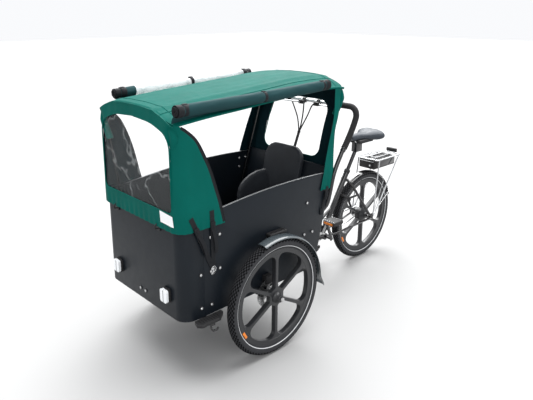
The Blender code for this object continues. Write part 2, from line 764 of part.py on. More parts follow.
def make_front_wheels():
    """Build both front wheels, brakes and mudguards."""
    for side, word in ((1, "left"), (-1, "right")):
        place = (side * TRACK / 2, 0.0, WHEEL_Z)
        body = hinge_empty(word + "_wheel_axis", place)
        make_wheel("front_" + word, place, FRONT_HUB_RADIUS, body)
        make_disc_and_caliper(word, side, body)
        make_front_mudguard(word, side)


# ---------------------------------------------------------------------------------------
# Canopy

CROWN = [(-0.512, 1.276), (-0.320, 1.294), (-0.100, 1.309), (0.270, 1.336), (0.440, 1.342),
         (0.557, 1.338), (0.612, 1.331)]
FRONT_WING = [(0.739, -0.262), (0.880, -0.300), (1.000, -0.340), (1.090, -0.385), (1.170, -0.430),
              (1.271, -0.483)]
FRONT_CORNER = [(0.745, 0.060), (1.250, 0.060)]
REAR_CORNER = [(0.850, 0.003), (1.100, 0.050), (1.250, 0.050)]
REAR_INNER = [(0.726, 0.396), (0.881, 0.434), (0.996, 0.471), (1.124, 0.515), (1.237, 0.528)]
REAR_OUTER = [(0.727, 0.478), (0.842, 0.503), (0.947, 0.523), (1.051, 0.552), (1.182, 0.602),
              (1.242, 0.611)]


def roof_height(x, y):
    """Return the height of the roof's outer face."""
    return along(CROWN, y) - ROOF_DROP * (abs(x) / ROOF_HALF_WIDTH) ** 3


def canopy_half_width(height):
    """Return half the canopy's outer width at a height."""
    return along([(SIDE_TOP + 0.005, CANOPY_FOOT_HALF_WIDTH), (1.24, CANOPY_HEAD_HALF_WIDTH)], height)


def wall_columns():
    """Return the shares that step round one canopy end, from a free edge to the middle."""
    turns = [("side", 0.0), ("side", 0.5)]
    turns += [("corner", share / 3) for share in range(4)]
    turns += [("face", 0.35), ("face", 0.7), ("face", 1.0)]
    return turns


def canopy_wall(name, edge, face, corner, top_margin):
    """Skin a canopy end: two side wings joined round the corners by a flat face."""
    rows = []
    for level in range(8):
        share = level / 7
        half_row = []
        for kind, step in wall_columns():
            height = CANOPY_BOTTOM + share * (1.20 - CANOPY_BOTTOM)
            for _ in range(3):
                half, wing, flat = canopy_half_width(height), edge(height), face(height)
                direction = 1 if flat > wing else -1
                radius = min(along(corner, height), 0.7 * abs(flat - wing))
                if kind == "side":
                    x, y = half, wing + (flat - direction * radius - wing) * step
                elif kind == "corner":
                    x = half - radius + radius * cos(step * pi / 2)
                    y = flat - direction * radius + direction * radius * sin(step * pi / 2)
                else:
                    x, y = (half - radius) * (1 - step), flat
                limit = roof_height(min(x, ROOF_HALF_WIDTH), flat) - top_margin
                height = CANOPY_BOTTOM + share * (limit - CANOPY_BOTTOM)
            half_row.append((x, y, height))
        rows.append(half_row + [(-x, y, z) for x, y, z in reversed(half_row[:-1])])
    return sheet(name, rows, FABRIC)


def make_canopy(body):
    """Build the canopy: poles, roof, front with its window, rear and rolled-up sides."""
    place = body.location
    stations = [-CANOPY_NOSE, -0.32, -0.10, 0.10, 0.27, 0.44, 0.557, CANOPY_TAIL]
    across = [-1.0, -0.93, -0.80, -0.60, -0.30, 0.0, 0.30, 0.60, 0.80, 0.93, 1.0]
    rows = []
    for y in stations:
        xs = [share * ROOF_HALF_WIDTH for share in across]
        rows.append([(x, y, roof_height(x, y)) for x in xs])
    roof = sheet("roof", rows, FABRIC)
    finish(roof, "canopy_roof", "canopy_green", place, body)

    margin = FABRIC + 0.002
    front = canopy_wall("front", lambda z: along(FRONT_WING, z), lambda z: -CANOPY_NOSE,
                        FRONT_CORNER, margin)
    hole = rounded_rectangle((-WINDOW_HALF_WIDTH, WINDOW_BOTTOM), (WINDOW_HALF_WIDTH, WINDOW_TOP),
                             WINDOW_CORNER)
    cutter = plate("cutter", [hole], 0.040, (0, -CANOPY_NOSE, 0), "XZ")
    finish(cut(front, cutter), "canopy_front", "canopy_green", place, body)

    edge = rounded_rectangle((-WINDOW_HALF_WIDTH + GAP, WINDOW_BOTTOM + GAP),
                             (WINDOW_HALF_WIDTH - GAP, WINDOW_TOP - GAP), WINDOW_CORNER - GAP)
    pane = plate("pane", [edge], PANE, (0, -CANOPY_NOSE + FABRIC / 2, 0), "XZ")
    finish(pane, "front_window", "clear_film", place, body)

    rear = canopy_wall("rear", lambda z: along(REAR_INNER, z), lambda z: along(REAR_OUTER, z),
                       REAR_CORNER, margin)
    half = REAR_OPENING_HALF_WIDTH
    hole = rounded_rectangle((-half, REAR_OPENING_BOTTOM), (half, REAR_OPENING_TOP), 0.060)
    cutter = plate("cutter", [hole], 0.240, (0, 0.560, 0), "XZ")
    finish(cut(rear, cutter), "canopy_rear", "canopy_green", place, body)

    for side, word in ((1, "left"), (-1, "right")):
        ends = [(side * ROLL_SPREAD, -0.485, 1.262), (side * ROLL_SPREAD, 0.490, 1.305)]
        roll = rod("roll", ends[0], ends[1], ROLL_RADIUS, 14)
        finish(roll, word + "_side_roll", "canopy_green", place, body)

    finish(make_poles(), "canopy_poles", "aluminium", place, body)


def bow(foot, shoulder):
    """Return the centre line of one canopy bow from the left foot to the right foot."""
    under = FABRIC + POLE_RADIUS + 0.006
    half = [foot, shoulder]
    for x in (shoulder[0] - 0.010, SPREADER_X, 0.120):
        half.append((x, shoulder[1], roof_height(x, shoulder[1]) - under))
    return half + [(-x, y, z) for x, y, z in reversed(half)]


def make_poles():
    """Build the two bows and the two side spreaders as one clipped-together frame."""
    inner = BOX_SIDE - PANEL - POLE_RADIUS - 0.004
    front_y, rear_y = -CANOPY_NOSE + 0.022, CANOPY_TAIL - 0.027
    front = bow((inner, WRAP_END - 0.020, 0.640), (ROOF_HALF_WIDTH - 0.014, front_y, 1.185))
    rear = bow((inner, rear_wall_y(0.66) - PANEL - 0.022, 0.660), (ROOF_HALF_WIDTH - 0.014, rear_y, 1.235))
    frame = pipe("poles", front, POLE_RADIUS, 1)
    frame = unite(frame, pipe("rear_bow", rear, POLE_RADIUS, 1))
    for side in (1, -1):
        start = (side * front[3][0], front_y, front[3][2])
        end = (side * rear[3][0], rear_y, rear[3][2])
        frame = unite(frame, pipe("spreader", [start, end], POLE_RADIUS * 0.9, 1))
    return frame


# ---------------------------------------------------------------------------------------
# Handlebar and its controls


def make_handlebar():
    """Build the stems, the hoop, the foam grips, brake levers, shifter and cables."""
    half = BAR_HALF_WIDTH
    foot_y = rear_wall_y(STEM_FOOT) + STEM_RADIUS + 0.002
    left = [(half - 0.02, foot_y, STEM_FOOT), (half, foot_y + 0.010, STEM_FOOT + 0.04),
            (half, 0.4865, 0.715),
            (half, 0.516, 0.82), (half, 0.571, 0.917), (half, 0.588, 0.9385)]
    stems = list(reversed(left)) + [(-x, y, z) for x, y, z in left]
    finish(pipe("stems", stems, STEM_RADIUS), "handlebar_stems", "black_paint")

    drop = BAR_HEIGHT - BAR_BEND
    rise = [(half, 0.5883, 0.9390), (half, 0.606, 0.961), (half, 0.640, 1.012), (half, 0.666, 1.056),
            (half, BAR_Y - 0.014, drop)]
    bend = arc((half - BAR_BEND, drop), BAR_BEND, 0.25 * pi / 2, pi / 2, 5)
    lean = [-0.008, -0.004, -0.002, 0.0, 0.0]
    rise += [(x, BAR_Y + shift, z) for (x, z), shift in zip(bend, lean)]
    hoop = rise + [(-x, y, z) for x, y, z in reversed(rise)]
    finish(pipe("hoop", hoop, BAR_RADIUS), "handlebar", "aluminium")

    for side, word in ((1, "left"), (-1, "right")):
        route = [(side * x, y, z) for x, y, z in rise[1:] + [(FOAM_END, BAR_Y, BAR_HEIGHT)]]
        wall = sleeve_wall(FOAM_RADIUS, BAR_RADIUS + BORE_GAP)
        grip = pipe("grip", route, FOAM_RADIUS, 2, False, wall)
        finish(grip, word + "_grip", "foam_black")
        make_brake_lever(side, word)

    start = (SHIFTER_X - SHIFTER_WIDTH / 2, BAR_Y, BAR_HEIGHT)
    end = (SHIFTER_X + SHIFTER_WIDTH / 2, BAR_Y, BAR_HEIGHT)
    wall = sleeve_wall(SHIFTER_RADIUS, BAR_RADIUS + BORE_GAP)
    twist = pipe("twist", [start, end], SHIFTER_RADIUS, 2, False, wall)
    finish(twist, "gear_shifter", "matte_black", (SHIFTER_X, BAR_Y, BAR_HEIGHT))

    finish(make_cables(), "cable_bundle", "matte_black")


def lever_pivot(side):
    """Return the point on a brake lever's hinge pin."""
    return Vector((side * (PERCH_SPREAD + PERCH_WIDTH / 2 + 0.004), BAR_Y - LEVER_REACH, BAR_HEIGHT - 0.010))


def make_brake_lever(side, word):
    """Build one brake lever and the perch that clamps it to the crossbar."""
    pivot = lever_pivot(side)
    start = (side * (PERCH_SPREAD - PERCH_WIDTH / 2), BAR_Y, BAR_HEIGHT)
    end = (side * (PERCH_SPREAD + PERCH_WIDTH / 2), BAR_Y, BAR_HEIGHT)
    wall = sleeve_wall(PERCH_RADIUS, BAR_RADIUS + GAP)
    ring = pipe("ring", [start, end], PERCH_RADIUS, 2, False, wall)
    xs = sorted((side * (PERCH_SPREAD - PERCH_WIDTH / 2 - 0.001), pivot.x + side * 0.006))
    body = block("body", (xs[0], BAR_Y - LEVER_REACH - 0.009, BAR_HEIGHT - 0.020),
                 (xs[1], BAR_Y - PERCH_RADIUS + 0.004, BAR_HEIGHT + 0.001))
    slot_xs = sorted((pivot.x - side * 0.0065, pivot.x + side * 0.02))
    slot = block("slot", (slot_xs[0], BAR_Y - LEVER_REACH - 0.03, pivot.z - 0.0045),
                 (slot_xs[1], BAR_Y - PERCH_RADIUS + 0.001, pivot.z + 0.0045))
    finish(cut(unite(ring, body), slot), word + "_brake_perch", "matte_black")

    route = [(-0.004, 0.0), (0.012, 0.0), (0.030, -0.010), (0.070, -0.012), (LEVER_LENGTH, -0.016)]
    points = [(pivot.x + side * x, pivot.y + y, pivot.z) for x, y in route]
    blade = pipe("blade", points, 0.0042, 2)
    finish(blade, word + "_brake_lever", "aluminium", pivot)


def make_cables():
    """Build the control cables from the levers and shifter to the steering pivot."""
    low = BOX_BOTTOM - 0.0125
    foot = rear_wall_y(BOX_BOTTOM)
    behind = rear_wall_y(STEM_FOOT) + 2 * STEM_RADIUS + 0.004 + CABLE_RADIUS
    trunk = [(0, 0.592, 0.988), (0, 0.568, 0.930), (0, 0.540, 0.860), (0, 0.510, 0.760),
             (0, behind, STEM_FOOT), (0, rear_wall_y(0.55) + 0.016, 0.55),
             (0, rear_wall_y(0.40) + 0.010, 0.40),
             (0, rear_wall_y(0.345) + 0.011, 0.345), (0, foot + 0.008, low + 0.006),
             (0, foot - 0.010, low), (0, foot - 0.060, low - 0.001), (0, 0.205, low - 0.002)]
    bundle = pipe("bundle", trunk, CABLE_RADIUS, 2)
    for side in (1, -1):
        start = (side * (PERCH_SPREAD - PERCH_WIDTH / 2 - 0.004), BAR_Y - LEVER_REACH, BAR_HEIGHT - 0.010)
        route = [start, (side * 0.030, BAR_Y - 0.040, 1.128), (side * 0.018, 0.640, 1.075),
                 (side * 0.006, 0.612, 1.020), (side * 0.001, 0.591, 0.984)]
        bundle = unite(bundle, pipe("branch", route, WIRE_HOUSING_RADIUS, 1))
    shift = [(SHIFTER_X + SHIFTER_WIDTH / 2 + 0.004, BAR_Y - 0.004, BAR_HEIGHT - 0.0165),
             (-0.120, BAR_Y - 0.030, 1.118), (-0.060, 0.640, 1.058), (-0.018, 0.606, 1.005),
             (-0.002, 0.588, 0.978)]
    return unite(bundle, pipe("branch", shift, WIRE_HOUSING_RADIUS, 1))


# ---------------------------------------------------------------------------------------
# Rear module


def seat_point(distance, x=0.0):
    """Return the point on the seat tube's axis at a distance from the bottom bracket."""
    return Vector((x, BRACKET_Y + distance * sin(SEAT_TUBE_LEAN),
                   BRACKET_Z + distance * cos(SEAT_TUBE_LEAN)))


def stay_bend():
    """Return where the seat stays turn down to the dropouts, on the middle plane."""
    return seat_point(SEAT_TUBE_LENGTH - 0.040) + Vector((0, 0.030, -0.045))


def make_rear_frame(body):
    """Build the welded rear frame from the steering head to the dropouts."""
    head_top = BOX_BOTTOM - GAP - 0.002 - PIVOT_PLATE - GAP
    head = rod("head", (0, PIVOT_Y, HEAD_BOTTOM), (0, PIVOT_Y, head_top), HEAD_RADIUS, 20)
    middle = (HEAD_BOTTOM + head_top) / 2 - 0.004
    parts = [rod("main", (0, PIVOT_Y, middle), (0, BRACKET_Y, BRACKET_Z - 0.002), MAIN_TUBE_RADIUS)]
    shell_end = SHELL_HALF_WIDTH
    parts.append(rod("shell", (-shell_end, BRACKET_Y, BRACKET_Z), (shell_end, BRACKET_Y, BRACKET_Z),
                     SHELL_RADIUS))
    parts.append(rod("seat_tube", seat_point(0.0), seat_point(SEAT_TUBE_LENGTH), SEAT_TUBE_RADIUS))
    brace = [(0, BRACKET_Y - 0.105, BRACKET_Z + 0.008), (0, BRACKET_Y - 0.060, BRACKET_Z + 0.070),
             (0, BRACKET_Y - 0.005, BRACKET_Z + 0.115), (0, BRACKET_Y + 0.060, BRACKET_Z + 0.150),
             seat_point(0.200)]
    parts.append(pipe("brace", brace, STAY_RADIUS, 2))
    drop_y, drop_z = WHEELBASE, WHEEL_Z
    clear = TYRE_WIDTH / 2 + STAY_RADIUS + 0.005
    bend = stay_bend()
    for side in (1, -1):
        high = seat_point(SEAT_TUBE_LENGTH - 0.040, side * 0.014)
        upper = [high, (side * (clear + 0.004), bend.y, bend.z),
                 (side * (DROPOUT_SPREAD - 0.003), drop_y + 0.002, drop_z + 0.004)]
        parts.append(pipe("stay", upper, STAY_RADIUS, 2))
        lower = [(side * 0.024, BRACKET_Y + 0.010, BRACKET_Z - 0.001),
                 (side * clear, BRACKET_Y + 0.090, BRACKET_Z - 0.002),
                 (side * DROPOUT_SPREAD, drop_y - 0.012, drop_z - 0.010)]
        parts.append(pipe("stay", lower, STAY_RADIUS * 0.85, 2))
        xs = sorted((side * (DROPOUT_SPREAD - DROPOUT_PLATE / 2), side * (DROPOUT_SPREAD + DROPOUT_PLATE / 2)))
        parts.append(block("dropout", (xs[0], drop_y - 0.022, drop_z - 0.020),
                           (xs[1], drop_y + 0.028, drop_z + 0.022)))
    reach = DROPOUT_SPREAD + DROPOUT_PLATE / 2 + 0.012
    parts.append(rod("axle", (-reach, drop_y, drop_z), (reach, drop_y, drop_z), AXLE_RADIUS, 12))
    frame = unite(head, *parts)
    bores = [rod("bore", (0, PIVOT_Y, HEAD_BOTTOM - 0.01), (0, PIVOT_Y, head_top + 0.01),
                 PIN_RADIUS + BORE_GAP),
             rod("bore", (-0.05, BRACKET_Y, BRACKET_Z), (0.05, BRACKET_Y, BRACKET_Z),
                 SPINDLE_RADIUS + BORE_GAP),
             rod("bore", seat_point(SEATPOST_START - SEATPOST_DROP - 0.002),
                 seat_point(SEAT_TUBE_LENGTH + 0.02), SEATPOST_RADIUS + BORE_GAP)]
    finish(cut(frame, *bores), "rear_frame", "black_paint", body.location, body)


def make_saddle(body):
    """Build the seat collar, the seat post and the saddle."""
    top = seat_point(SEAT_TUBE_LENGTH + GAP)
    collar = rod("collar", top, seat_point(SEAT_TUBE_LENGTH + GAP + COLLAR_HEIGHT),
                 SEATPOST_RADIUS + COLLAR_WALL + 0.002)
    hole = rod("hole", seat_point(SEAT_TUBE_LENGTH - 0.01), seat_point(SEAT_TUBE_LENGTH + 0.06),
               SEATPOST_RADIUS + BORE_GAP)
    finish(cut(collar, hole), "seat_collar", "matte_black", body.location, body)

    start = seat_point(SEATPOST_START)
    slide = hinge_empty("seat_slide", start, body)
    post = rod("post", start, seat_point(SEATPOST_END), SEATPOST_RADIUS)
    head = seat_point(SEATPOST_END)
    clamp = block("clamp", (-0.020, head.y - 0.022, head.z - 0.016),
                  (0.020, head.y + 0.040, SADDLE_BOTTOM - GAP))
    finish(unite(post, clamp), "seatpost", "black_paint", start, slide)

    half = SADDLE_WIDTH / 2
    length = SADDLE_LENGTH
    side = [(0.020, 0.004), (0.026, 0.30), (0.034, 0.45), (0.062, 0.60), (half * 0.92, 0.74),
            (half, 0.86), (half * 0.80, 0.97), (half * 0.35, 1.0)]
    left = [(x, SADDLE_NOSE_Y + share * length) for x, share in side]
    outline = left + [(-x, y) for x, y in reversed(left)]
    centre = (0, 0, SADDLE_BOTTOM + SADDLE_THICKNESS / 2)
    saddle = plate("saddle", [outline], SADDLE_THICKNESS, centre, "XY")
    finish(saddle, "saddle", "saddle_slate", start, slide)


def make_drive(body):
    """Build the crankset, pedals, chain and rear sprocket."""
    centre = Vector((0, BRACKET_Y, BRACKET_Z))
    turn = hinge_empty("crank_axis", centre, body)
    reach = CRANK_PLANE + CRANK_THICKNESS / 2
    crankset = rod("spindle", centre - Vector((reach - 0.002, 0, 0)), centre + Vector((reach - 0.002, 0, 0)),
                   SPINDLE_RADIUS, 12)
    ring = arc((0, 0), CHAINRING_RADIUS - 0.001, 0, 2 * pi * 23 / 24, 24)
    holes = []
    for step in range(5):
        middle = 2 * pi * step / 5
        holes.append([(0.048 * cos(middle) + px, 0.048 * sin(middle) + py)
                      for px, py in arc((0, 0), 0.014, 0, 2 * pi * 7 / 8, 8)])
    chainring = plate("chainring", [ring] + holes, 0.004, (-CHAIN_LINE, BRACKET_Y, BRACKET_Z), "YZ")
    parts = [chainring]
    pedals = {}
    for side in (1, -1):
        angle = CRANK_ANGLE if side > 0 else CRANK_ANGLE + pi
        along_arm = Vector((0, cos(angle), sin(angle)))
        arm = block("arm", (-CRANK_THICKNESS / 2, -CRANK_WIDTH / 2, -CRANK_WIDTH / 2),
                    (CRANK_THICKNESS / 2, CRANK_LENGTH + CRANK_WIDTH / 2, CRANK_WIDTH / 2), 0.004, 1)
        arm.data.transform(Matrix.Translation(centre + Vector((side * CRANK_PLANE, 0, 0)))
                           @ Matrix.Rotation(angle, 4, "X"))
        tip = centre + Vector((side * CRANK_PLANE, 0, 0)) + along_arm * CRANK_LENGTH
        out = tip + Vector((side * (CRANK_THICKNESS / 2 + 0.006 + PEDAL_WIDTH * 0.8), 0, 0))
        parts += [arm, rod("pedal_axle", tip, out, PEDAL_AXLE_RADIUS, 10)]
        pedals[side] = tip
    finish(unite(crankset, *parts), "crankset", "black_paint", centre, turn)

    for side, word in ((1, "left"), (-1, "right")):
        inner = pedals[side] + Vector((side * (CRANK_THICKNESS / 2 + 0.004), 0, 0))
        outer = inner + Vector((side * PEDAL_WIDTH, 0, 0))
        xs = sorted((inner.x, outer.x))
        pedal = block("pedal", (xs[0], inner.y - PEDAL_LENGTH / 2, inner.z - PEDAL_THICKNESS / 2),
                      (xs[1], inner.y + PEDAL_LENGTH / 2, inner.z + PEDAL_THICKNESS / 2), 0.005, 1)
        bore = rod("bore", inner - Vector((side * 0.01, 0, 0)),
                   inner + Vector((side * (PEDAL_WIDTH * 0.8 + 0.006), 0, 0)),
                   PEDAL_AXLE_RADIUS + BORE_GAP, 10)
        finish(cut(pedal, bore), word + "_pedal", "matte_black", pedals[side], turn)

    hub = (-CHAIN_LINE, WHEELBASE, WHEEL_Z)
    edge = SPROCKET_RADIUS - 0.001
    half = SPROCKET_THICKNESS / 2
    profile = [(edge, half), (edge, -half), (AXLE_RADIUS + 0.003, -half), (AXLE_RADIUS + 0.003, half)]
    sprocket = turned("sprocket", profile, 18, hub)
    finish(sprocket, "rear_sprocket", "steel", hub, body)
    finish(make_chain(), "chain", "steel", body.location, body)


def make_chain():
    """Build the chain as a band round the chainring and the sprocket."""
    large, small = CHAINRING_RADIUS, SPROCKET_RADIUS
    run = Vector((WHEELBASE - BRACKET_Y, WHEEL_Z - BRACKET_Z))
    tilt = atan2(run.y, run.x)
    open_angle = pi / 2 - atan2(large - small, sqrt(run.length ** 2 - (large - small) ** 2))

    def band(extra):
        front = arc((BRACKET_Y, BRACKET_Z), large + extra, tilt + open_angle,
                    tilt + 2 * pi - open_angle, 13)
        rear = arc((WHEELBASE, WHEEL_Z), small + extra, tilt - open_angle, tilt + open_angle, 8)
        return front + rear

    return plate("chain", [band(CHAIN_HEIGHT), band(GAP)], CHAIN_WIDTH, (-CHAIN_LINE, 0, 0), "YZ")


def make_rear_mudguard(body):
    """Build the rear mudguard with its two wire stays."""
    radius = WHEEL_RADIUS + REAR_FENDER_GAP
    profile = fender_profile(radius, REAR_FENDER_WIDTH, 0.0)
    profile = [(value + 0.002, x) for value, x in profile]
    sweep = REAR_FENDER_END - REAR_FENDER_START
    shell = turned("shell", profile, 14, (0, 0, 0), sweep, FENDER_WALL)
    place = Matrix.Translation((0, WHEELBASE, WHEEL_Z))
    shell.data.transform(place @ Matrix.Rotation(REAR_FENDER_START, 4, "X"))
    half = REAR_FENDER_WIDTH / 2
    for angle in (REAR_FENDER_START + radians(6), REAR_FENDER_START + radians(24)):
        outer = radius + FENDER_WALL + 0.001
        near = Vector((0, cos(angle), sin(angle)))
        centre = Vector((0, WHEELBASE, WHEEL_Z))
        rim = centre + near * outer
        foot = centre + Vector((0, 0.024, -0.013))
        spread = DROPOUT_SPREAD + DROPOUT_PLATE / 2 + 1.5 * WIRE_RADIUS + GAP
        route = [(spread, foot.y, foot.z), (half + 0.004, rim.y - near.y * 0.020, rim.z - near.z * 0.020),
                 (half - 0.006, rim.y, rim.z)]
        route += [(-x, y, z) for x, y, z in reversed(route)]
        shell = unite(shell, pipe("stay", route, WIRE_RADIUS, 1))
    finish(shell, "rear_mudguard", "gloss_black", body.location, body)


def make_rack(body):
    """Build the rear rack, its spring clamp, the battery under it and the rear light."""
    wide, z = RACK_HALF_WIDTH, RACK_HEIGHT
    corner = 0.020
    deck = rounded_rectangle((-wide, RACK_FRONT), (wide, RACK_REAR), corner, 4)
    rack = pipe("rack", [(x, y, z) for x, y in deck], RACK_WIRE_RADIUS, 2, True)
    for x in (-0.030, 0.030):
        rack = unite(rack, pipe("rod", [(x, RACK_FRONT, z), (x, RACK_REAR, z)], 0.0040, 2))
    legs = ((RACK_FRONT + 0.022, 0.016, 0.014), (RACK_REAR - 0.022, 0.022, 0.0))
    for side in (1, -1):
        for top_y, foot_y, foot_z in legs:
            route = [(side * RACK_LEG_SPREAD, WHEELBASE + foot_y, WHEEL_Z + foot_z),
                     (side * (wide + 0.001), top_y, z)]
            rack = unite(rack, pipe("leg", route, 0.0045, 2))
    finish(rack, "rack", "aluminium", body.location, body)

    start = (0, CLAMP_FRONT, z + RACK_WIRE_RADIUS + CLAMP_WIRE_RADIUS + GAP)
    half = CLAMP_HALF_WIDTH
    high = start[2]
    loop = rounded_rectangle((-half, CLAMP_FRONT), (half, CLAMP_REAR), 0.015, 3)
    clamp = pipe("clamp", [(x, y, high) for x, y in loop], CLAMP_WIRE_RADIUS, 2, True)
    finish(clamp, "rack_clamp", "steel", start, body)

    top = z - RACK_WIRE_RADIUS - GAP
    low = (-BATTERY_WIDTH / 2, RACK_FRONT - 0.004, top - BATTERY_HEIGHT)
    high_corner = (BATTERY_WIDTH / 2, RACK_FRONT - 0.004 + BATTERY_LENGTH, top)
    battery = block("battery", low, high_corner, 0.008)
    finish(battery, "battery", "matte_black", low, body)

    light = block("light", (-0.040, RACK_REAR + RACK_WIRE_RADIUS + GAP, z - 0.004),
                  (0.040, RACK_REAR + RACK_WIRE_RADIUS + LIGHT_TAIL, z + 0.028), 0.006)
    finish(light, "rear_light", "lamp_red", body.location, body)


def make_ring_lock(body):
    """Build the ring lock's case round the tyre, ahead of the seat stays."""
    outer = [(x, 0.76 * z) for x, z in arc((0, 0), LOCK_RADIUS + LOCK_WALL, radians(-35), radians(215), 16)]
    inner = [(x, 0.76 * z) for x, z in arc((0, 0), LOCK_RADIUS, radians(-35), radians(215), 16)]
    case = plate("case", [outer + list(reversed(inner))], LOCK_WIDTH, (0, 0, 0), "XZ")
    distance = WHEEL_RADIUS - 0.030
    bend = stay_bend()
    angle = atan2(bend.z - WHEEL_Z, bend.y - WHEELBASE) + LOCK_LEAD / distance
    centre = Vector((0, WHEELBASE + distance * cos(angle), WHEEL_Z + distance * sin(angle)))
    case.data.transform(Matrix.Translation(centre) @ Matrix.Rotation(angle - pi / 2, 4, "X"))
    arm = LOCK_RADIUS + LOCK_WALL - 0.0015
    for side in (1, -1):
        xs = sorted((side * arm, side * (arm + 0.004)))
        strap = block("strap", (xs[0], centre.y - 0.006, centre.z + 0.004),
                      (xs[1], centre.y + 0.068, centre.z + 0.018))
        case = unite(case, strap)
    finish(case, "ring_lock", "matte_black", body.location, body)


def make_rear_module():
    """Build everything that swings about the steering pivot."""
    body = hinge_empty("steering_axis", (0, PIVOT_Y, HEAD_BOTTOM))
    make_rear_frame(body)
    make_saddle(body)
    axle = hinge_empty("rear_wheel_axis", (0, WHEELBASE, WHEEL_Z), body)
    make_wheel("rear", (0, WHEELBASE, WHEEL_Z), REAR_HUB_RADIUS, axle)
    make_drive(body)
    make_rear_mudguard(body)
    make_rack(body)
    make_ring_lock(body)


def centre_over_origin():
    """Slide the assembly along Y so that its bounding box is centred on the origin."""
    bpy.context.view_layer.update()
    parts = [part for part in collection(ASSEMBLY).objects if part.type == "MESH"]
    corners = [(part.matrix_world @ vertex.co).y for part in parts for vertex in part.data.vertices]
    shift = -(min(corners) + max(corners)) / 2
    for part in collection(ASSEMBLY).objects:
        if part.parent is None:
            part.location.y += shift


def build():
    """Build the whole cargo bicycle."""
    for old in list(bpy.data.objects):
        bpy.data.objects.remove(old)
    make_box()
    make_seats()
    make_steps()
    make_headlights()
    make_chassis()
    make_front_wheels()
    make_canopy(hinge_empty("canopy_base", (0, 0, CANOPY_BOTTOM)))
    make_handlebar()
    make_rear_module()
    centre_over_origin()


build()
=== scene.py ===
"""Three-wheeled cargo bicycle: its visible surfaces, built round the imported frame.

Each sub-assembly is a class with its sizes as fields.  Points are given from the front
axle (Y = 0) and the ground (Z = 0), +X to the rider's left and -Y forwards, in metres;
Shop.place slides a finished mesh to where the frame has its front axle.
"""
from __future__ import annotations

import json
import logging
import math
from contextlib import contextmanager
from dataclasses import dataclass, field
from enum import Enum
from math import cos, pi, radians, sin, sqrt, tan
from typing import Any, Callable, Iterable, Iterator, Sequence

import bpy
from mathutils import Matrix, Vector, noise

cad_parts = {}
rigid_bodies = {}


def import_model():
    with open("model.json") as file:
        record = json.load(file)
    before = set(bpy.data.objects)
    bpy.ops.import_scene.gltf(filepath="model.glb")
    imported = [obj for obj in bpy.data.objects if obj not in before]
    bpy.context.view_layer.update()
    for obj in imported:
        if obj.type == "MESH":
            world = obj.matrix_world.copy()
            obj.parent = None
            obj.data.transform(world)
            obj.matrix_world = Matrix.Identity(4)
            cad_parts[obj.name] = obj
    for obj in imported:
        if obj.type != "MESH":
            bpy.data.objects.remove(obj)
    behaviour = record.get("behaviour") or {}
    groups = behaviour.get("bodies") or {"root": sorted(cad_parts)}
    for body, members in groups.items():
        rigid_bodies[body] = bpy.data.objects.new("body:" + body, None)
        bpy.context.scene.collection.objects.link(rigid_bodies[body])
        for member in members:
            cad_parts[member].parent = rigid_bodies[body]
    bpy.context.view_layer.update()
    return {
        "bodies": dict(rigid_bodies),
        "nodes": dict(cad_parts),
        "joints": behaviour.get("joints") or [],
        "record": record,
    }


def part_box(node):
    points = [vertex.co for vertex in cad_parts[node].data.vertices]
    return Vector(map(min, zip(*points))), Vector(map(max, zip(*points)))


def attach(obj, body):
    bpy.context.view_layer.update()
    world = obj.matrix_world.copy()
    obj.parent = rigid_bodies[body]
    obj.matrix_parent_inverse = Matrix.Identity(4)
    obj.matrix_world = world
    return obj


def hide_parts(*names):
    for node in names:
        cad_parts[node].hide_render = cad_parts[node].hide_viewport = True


LOG = logging.getLogger("cargo_bicycle")
SIDES = ((1, "left"), (-1, "right"))
WHEEL_RADIUS = 0.3035
WHEEL_X = 0.400
WHEELBASE = 1.250
WALL_LEAN = radians(13.2)
WALL_FOOT_Y = 0.372
BOX_BOTTOM = 0.315
CHAINRING = (0.830, 0.265)
CHAIN_X = -0.055
CHAIN_PITCH = 0.0127
STUFFING = 4.0
CLOTH_STEPS = 20
DOUBLES = 0.00002
Flat = tuple[float, float]
Triple = tuple[float, float, float]
Test = Callable[[Any], bool]
ORIGIN = (0, 0, 0)
Point = Sequence[float]
Piece = bpy.types.Object


# Curves and outlines


def arc(centre: Flat, radius: float, start: float, end: float, count: int) -> list[Flat]:
    """Return points on an arc.

    Args:
        centre: middle of the arc.
        radius: its radius.
        start, end: angles in radians.
        count: number of points, both ends included.

    Returns:
        The points in order.
    """
    turns = [start + (end - start) * step / (count - 1) for step in range(count)]
    return [(centre[0] + radius * cos(turn), centre[1] + radius * sin(turn)) for turn in turns]


def smooth_line(knots: Sequence[Point], steps: int) -> list[Vector]:
    """Return a smooth curve through knots, with steps points to each span.

    Args:
        knots: the points it passes through.
        steps: points in each span.

    Returns:
        The curve's points, both ends included.
    """
    points = [Vector(knot) for knot in knots]
    ends = [2 * points[0] - points[1]] + points + [2 * points[-1] - points[-2]]
    made = []
    for a, b, c, d in zip(ends, ends[1:], ends[2:], ends[3:]):
        for step in range(steps):
            t = step / steps
            made.append(0.5 * (2 * b + (c - a) * t + (2 * a - 5 * b + 4 * c - d) * t * t
                               + (3 * b - a - 3 * c + d) * t ** 3))
    return made + [points[-1]]


